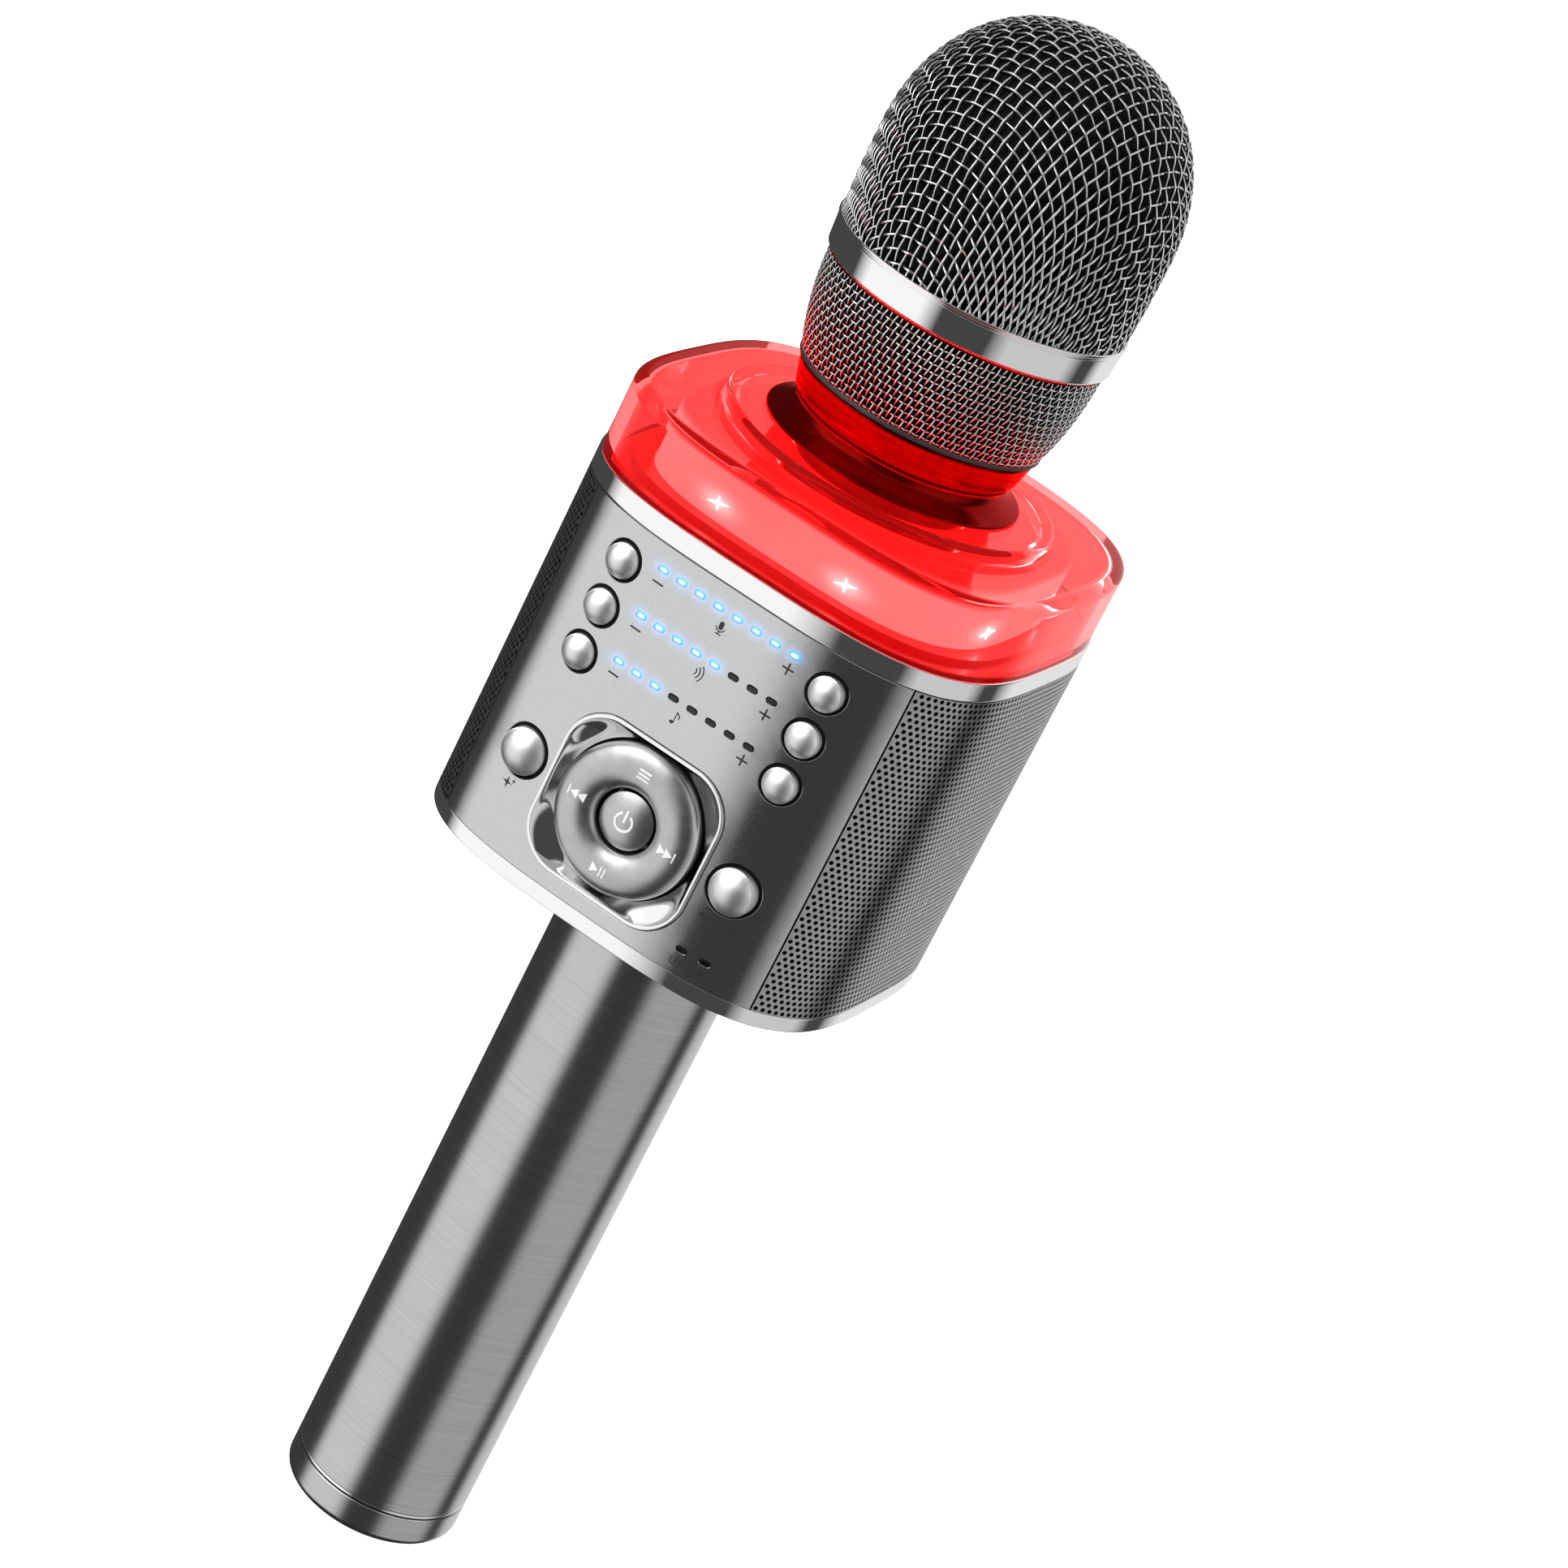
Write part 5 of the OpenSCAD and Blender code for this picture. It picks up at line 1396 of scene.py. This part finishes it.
def wire_mesh(name, pitch, wire, z_low, z_high, turn, parts_per_cell, body_slot):
    """Woven wire: two families of real tubes that pass over and under each other at each crossing."""
    s, r, z = head_curve()
    dr, dz = np.gradient(r, s), np.gradient(z, s)
    s_end = float(np.interp(-z_low, -z, s))
    s_start = float(np.interp(-z_high, -z, s)) if z_high < DOME_TOP else -1.0
    net = fishnet(pitch, s_end)
    sides = 6
    around = np.arange(sides) * TAU / sides
    pieces = []
    for family in (0, 1):
        verts, faces, start = [], [], 0
        for run in wire_paths(net, family, turn):
            q = np.array(run)
            rr = np.interp(q[:, 0], s, r)
            nodes = np.column_stack([rr * np.cos(q[:, 1]), rr * np.sin(q[:, 1]), np.interp(q[:, 0], s, z)])
            a, b = np.interp(q[:, 0], s, dr), np.interp(q[:, 0], s, dz)
            length = np.hypot(a, b)
            normal = np.column_stack([-b / length * np.cos(q[:, 1]), -b / length * np.sin(q[:, 1]), a / length])
            normal[q[:, 0] < 1e-9] = (0, 0, 1)
            knots = np.arange(len(q))
            t = np.linspace(0, len(q) - 1, (len(q) - 1) * parts_per_cell + 1)
            k = np.minimum(t.astype(int), len(q) - 2)
            f = (t - k)[:, None]
            tangent = np.gradient(nodes, axis=0)
            p0, p1, m0, m1 = nodes[k], nodes[k + 1], tangent[k], tangent[k + 1]
            path = ((2 * f ** 3 - 3 * f ** 2 + 1) * p0 + (f ** 3 - 2 * f ** 2 + f) * m0
                    + (-2 * f ** 3 + 3 * f ** 2) * p1 + (f ** 3 - f ** 2) * m1)
            up = normal[k] * (1 - f) + normal[k + 1] * f
            up /= np.linalg.norm(up, axis=1)[:, None]
            weave = q[k, 2] * np.cos(math.pi * (t - k))
            depth = np.interp(t, knots, q[:, 0])
            path = path + up * (weave * wire * CRIMP - wire * (0.5 + CRIMP))[:, None]
            keep = (depth <= s_end) & (depth >= s_start)
            edges = np.flatnonzero(np.diff(np.concatenate([[0], keep.astype(int), [0]])))
            for begin, end in zip(edges[::2], edges[1::2]):
                if end - begin < 3:
                    continue
                line, out = path[begin:end], up[begin:end]
                ahead = np.gradient(line, axis=0)
                ahead /= np.linalg.norm(ahead, axis=1)[:, None]
                side = np.cross(ahead, out)
                side /= np.linalg.norm(side, axis=1)[:, None]
                top = np.cross(side, ahead)
                ring = (line[:, None] + wire / 2 * (np.cos(around)[None, :, None] * side[:, None]
                                                    + np.sin(around)[None, :, None] * top[:, None]))
                n = len(line)
                verts.append(ring.reshape(-1, 3))
                index = np.arange(n - 1)[:, None] * sides + np.arange(sides)[None]
                nxt = np.arange(n - 1)[:, None] * sides + (np.arange(sides)[None] + 1) % sides
                quads = np.stack([index, index + sides, nxt + sides, nxt], 2).reshape(-1, 4) + start
                faces.extend(quads.tolist())
                faces.append([start + i for i in range(sides)])
                faces.append([start + (n - 1) * sides + i for i in reversed(range(sides))])
                start += n * sides
        obj = make_object(f"{name}_{'warp' if family == 0 else 'weft'}", np.concatenate(verts), faces, WIRE, "head",
                          80, body_slot)
        pieces.append(obj)
    return pieces


def tube_along(line, out, wire, sides, closed):
    """A round wire along a line of points, as verts and quads, capped unless it is closed."""
    if closed:
        ahead = np.roll(line, -1, 0) - np.roll(line, 1, 0)
    else:
        ahead = np.gradient(line, axis=0)
    ahead /= np.linalg.norm(ahead, axis=1)[:, None]
    side = np.cross(ahead, out)
    side /= np.linalg.norm(side, axis=1)[:, None]
    top = np.cross(side, ahead)
    around = np.arange(sides) * TAU / sides
    ring = (line[:, None] + wire / 2 * (np.cos(around)[None, :, None] * side[:, None]
                                        + np.sin(around)[None, :, None] * top[:, None]))
    n = len(line)
    spans = n if closed else n - 1
    a = np.arange(spans)[:, None] * sides
    b = (np.arange(spans)[:, None] + 1) % n * sides
    i, j = np.arange(sides)[None], (np.arange(sides)[None] + 1) % sides
    faces = np.stack([a + i, b + i, b + j, a + j], 2).reshape(-1, 4).tolist()
    if not closed:
        faces.append(list(range(sides)))
        faces.append([(n - 1) * sides + k for k in reversed(range(sides))])
    return ring.reshape(-1, 3), faces


def skirt_weave(uprights, rise, wire):
    """Fine cloth of the skirt: leaning uprights woven through level hoops."""
    low, high = GASKET_HIGH - 0.3 * MM, BAND_LOW + 0.5 * MM
    hoops = round((high - low) / rise)
    levels = low + (high - low) * (np.arange(hoops) + 0.5) / hoops
    amplitude = wire * CRIMP
    sides = 6

    def on_skirt(angle, z, lift):
        r = skirt_radius(z) - wire * (0.5 + CRIMP) + lift
        return np.column_stack([r * np.cos(angle), r * np.sin(angle), z])

    def outward(angle):
        return np.column_stack([np.cos(angle), np.sin(angle), np.zeros(len(angle))])

    rings = []
    for k, z in enumerate(levels):
        t = np.arange(uprights * 4) / 4
        angle = t * TAU / uprights + SKIRT_LEAN * (z - low)
        lift = amplitude * np.cos(math.pi * (t + k))
        rings.append(tube_along(on_skirt(angle, np.full(len(t), z), lift), outward(angle), wire, sides, True))
    posts = []
    for m in range(uprights):
        t = np.linspace(-0.5, hoops - 0.5, hoops * 4 + 1)
        z = low + (high - low) * (t + 0.5) / hoops
        angle = m * TAU / uprights + SKIRT_LEAN * (z - low)
        lift = -amplitude * np.cos(math.pi * (t + m))
        posts.append(tube_along(on_skirt(angle, z, lift), outward(angle), wire, sides, False))
    return [make_object("skirt_wire_weft", *join(rings), WIRE, "head", 80, "mesh_steel"),
            make_object("skirt_wire_warp", *join(posts), WIRE, "head", 80, "mesh_steel")]


def build_meshes():
    dome = wire_mesh("dome_wire", 2.15 * MM, 0.42 * MM, BAND_HIGH - 0.8 * MM, DOME_TOP + 1, math.radians(-98), 5,
                     "mesh_steel")
    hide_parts("mesh_dome")
    skirt = skirt_weave(148, 1.22 * MM, 0.32 * MM)
    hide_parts("mesh_skirt")


def build_foam():
    """Foam windscreen: a hollow shell behind the wire, with a fine lumpy surface."""
    s, r, z = head_curve()
    low = NECK_TOP + 0.8 * MM
    keep = (z > low) & (s > 0.3 * MM)
    take = np.linspace(0, keep.sum() - 1, 90).astype(int)
    rr, zz = r[keep][take], z[keep][take]
    dr, dz = np.gradient(rr), np.gradient(zz)
    length = np.hypot(dr, dz)
    shell = 1.25 * MM
    outer_r, outer_z = rr + dz / length * shell, zz - dr / length * shell
    near_band = (outer_z > BAND_LOW - 0.6 * MM) & (outer_z < BAND_HIGH + 0.6 * MM)
    outer_r = np.where(near_band, np.minimum(outer_r, 20.6 * MM), outer_r)
    rng = np.random.default_rng(4)
    count = 220
    rings = []
    for a, b in zip(outer_r, outer_z):
        lump = 1 + rng.normal(0, 0.0022, count)
        xy = circle_ring(max(a, 0.1 * MM), count) * lump[:, None]
        rings.append(flat_ring(xy, b))
    thick = 3.2 * MM
    inner = [(max(a - thick * (1 if k > 12 else k / 12), 0.08 * MM), b - thick * max(0, 1 - k / 45))
             for k, (a, b) in enumerate(zip(outer_r, outer_z))]
    for a, b in inner[::-1]:
        rings.append(flat_ring(circle_ring(a, count), max(b, outer_z[-1])))
    verts, faces = loft(rings)
    obj = make_object("foam_liner", verts, [f[::-1] for f in faces], FOAM, "head", 60, "foam")
    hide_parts("foam_windscreen")


# ---------------------------------------------------------------- studio

def build_floor():
    """A pale round floor that curves up into a backdrop all round."""
    radius, bend, top = 3.0, 0.8, 3.0
    profile = [(0.001, 0.0), (0.5, 0.0), (1.2, 0.0)]
    profile += [(radius - bend + bend * math.sin(a), bend - bend * math.cos(a))
                for a in np.linspace(0, math.pi / 2, 10)]
    profile.append((radius, top))
    count = 96
    verts, faces = loft([flat_ring(circle_ring(r, count), z) for r, z in profile], closed=False)
    mat, tree, principled = shader("pale_floor", (0.95, 0.95, 0.95), 0.0, 0.9, Emission_Strength=0.9)
    principled.inputs["Emission Color"].default_value = (1, 1, 1, 1)
    mesh = bpy.data.meshes.new("studio_floor")
    mesh.from_pydata(verts.tolist(), [], faces)
    mesh.polygons.foreach_set("use_smooth", [True] * len(mesh.polygons))
    mesh.materials.append(mat)
    floor = bpy.data.objects.new("studio_floor", mesh)
    bpy.context.scene.collection.objects.link(floor)
    floor.visible_glossy = False
    floor.visible_diffuse = False


# Softboxes: name, place, width and height, power, and the brightness of the strip that reflections see behind it
SOFTBOXES = [("key_softbox", (-0.45, -0.60, 0.65), (0.35, 0.45), 9, 1.0),
             ("fill_softbox", (0.65, -0.10, 0.60), (0.3, 0.5), 3, 0.6),
             ("back_softbox", (0.10, 0.75, 0.45), (0.5, 0.4), 5, 0.8)]
SOFTBOX_AIM = (0, 0, 0.17)
TENT_RADIUS, TENT_LOW, TENT_HIGH = 0.30, -0.30, 0.50
WALL_TONE, ROOF_TONE, BASE_TONE = 0.06, 0.35, 0.04
STRIP_INNER, STRIP_OUTER = math.radians(25), math.radians(40)    # a strip is full to the first and fades by the second


def reflection_only(obj):
    """Part of the studio that only reflections see."""
    obj.visible_camera = False
    obj.visible_diffuse = False
    obj.visible_shadow = False
    obj.visible_transmission = False
    obj.visible_volume_scatter = False
    bpy.context.scene.collection.objects.link(obj)


def studio_glow(name, verts, faces):
    """A glowing part of the studio that only reflections see. Returns its node tree and its emission node."""
    mesh = bpy.data.meshes.new(name)
    mesh.from_pydata(np.asarray(verts).tolist(), [], faces)
    mat = bpy.data.materials.new(name)
    mat.use_nodes = True
    tree = mat.node_tree
    tree.nodes.clear()
    glow = tree.nodes.new("ShaderNodeEmission")
    out = tree.nodes.new("ShaderNodeOutputMaterial")
    tree.links.new(glow.outputs["Emission"], out.inputs["Surface"])
    mesh.materials.append(mat)
    reflection_only(bpy.data.objects.new(name, mesh))
    return tree, glow


def build_light_tent():
    """A plain dim wall that only reflections see, with one soft bright strip behind each softbox."""
    ring = circle_ring(TENT_RADIUS, 128)
    verts, faces = loft([flat_ring(ring, z) for z in (TENT_LOW, TENT_HIGH)], closed=False)
    tree, glow = studio_glow("light_tent", verts, [f[::-1] for f in faces])
    coords = tree.nodes.new("ShaderNodeTexCoord")
    tone = None
    for _, place, _, _, bright in SOFTBOXES:
        facing = tree.nodes.new("ShaderNodeVectorMath")
        facing.operation = "DOT_PRODUCT"
        facing.inputs[1].default_value = Vector((place[0], place[1], 0)).normalized() / TENT_RADIUS
        tree.links.new(coords.outputs["Object"], facing.inputs[0])
        strip = remap(tree, facing.outputs["Value"], WALL_TONE, bright, math.cos(STRIP_OUTER), math.cos(STRIP_INNER))
        if tone is None:
            tone = strip
            continue
        brighter = tree.nodes.new("ShaderNodeMath")
        brighter.operation = "MAXIMUM"
        tree.links.new(tone, brighter.inputs[0])
        tree.links.new(strip, brighter.inputs[1])
        tone = brighter.outputs[0]
    tree.links.new(tone, glow.inputs["Strength"])

    for name, height, level in (("tent_roof", TENT_HIGH, ROOF_TONE), ("tent_base", TENT_LOW, BASE_TONE)):
        tree, glow = studio_glow(name, flat_ring(ring, height), [list(range(len(ring)))])
        glow.inputs["Strength"].default_value = level


def area_light(name, place, aim, size, power):
    light = bpy.data.lights.new(name, "AREA")
    light.shape = "RECTANGLE"
    light.size, light.size_y = size
    light.energy = power
    obj = bpy.data.objects.new(name, light)
    obj.location = place
    obj.rotation_euler = (Vector(aim) - Vector(place)).to_track_quat("-Z", "Y").to_euler()
    bpy.context.scene.collection.objects.link(obj)
    return obj


def build_lights():
    world = bpy.data.worlds.new("studio")
    world.use_nodes = True
    background = world.node_tree.nodes["Background"]
    background.inputs["Color"].default_value = (1, 1, 1, 1)
    background.inputs["Strength"].default_value = 0.45
    bpy.context.scene.world = world
    for name, place, size, power, _ in SOFTBOXES:
        area_light(name, place, SOFTBOX_AIM, size, power)


# Camera: the photograph's viewing angle, distance and roll
CAM_AZIMUTH = math.radians(17.3)
CAM_ELEVATION = math.radians(21.9)
CAM_ROLL = math.radians(27.1)
CAM_DISTANCE = 0.7023
CAM_AIM_Z = 0.1446
CAM_ASIDE = 0.0078
CAM_LENS = 105.4


def build_camera():
    back = Vector((math.sin(CAM_AZIMUTH) * math.cos(CAM_ELEVATION),
                   -math.cos(CAM_AZIMUTH) * math.cos(CAM_ELEVATION), math.sin(CAM_ELEVATION)))
    right = (-back).cross(Vector((0, 0, 1))).normalized()
    up = right.cross(-back)
    place = Vector((0, 0, CAM_AIM_Z)) + right * CAM_ASIDE + back * CAM_DISTANCE
    rolled_right = math.cos(CAM_ROLL) * right + math.sin(CAM_ROLL) * up
    rolled_up = -math.sin(CAM_ROLL) * right + math.cos(CAM_ROLL) * up
    data = bpy.data.cameras.new("studio_camera")
    data.lens = CAM_LENS
    data.sensor_width = 36
    camera = bpy.data.objects.new("studio_camera", data)
    matrix = Matrix((rolled_right, rolled_up, back)).transposed().to_4x4()
    matrix.translation = place
    camera.matrix_world = matrix
    bpy.context.scene.collection.objects.link(camera)
    bpy.context.scene.camera = camera


build_camera()
build_lights()
build_floor()
build_light_tent()
build_handle()
build_tail()
build_trims()
build_panel()
build_grille()
build_buttons()
build_gap_rings()
build_light_windows()
build_bezel()
build_pad()
build_marks()
build_light_cover()
build_diffuser()
build_red_tray()
build_glints()
build_neck()
build_gasket_and_band()
build_skirt_liner()
build_meshes()
build_foam()
bpy.context.scene.view_settings.view_transform = "Standard"
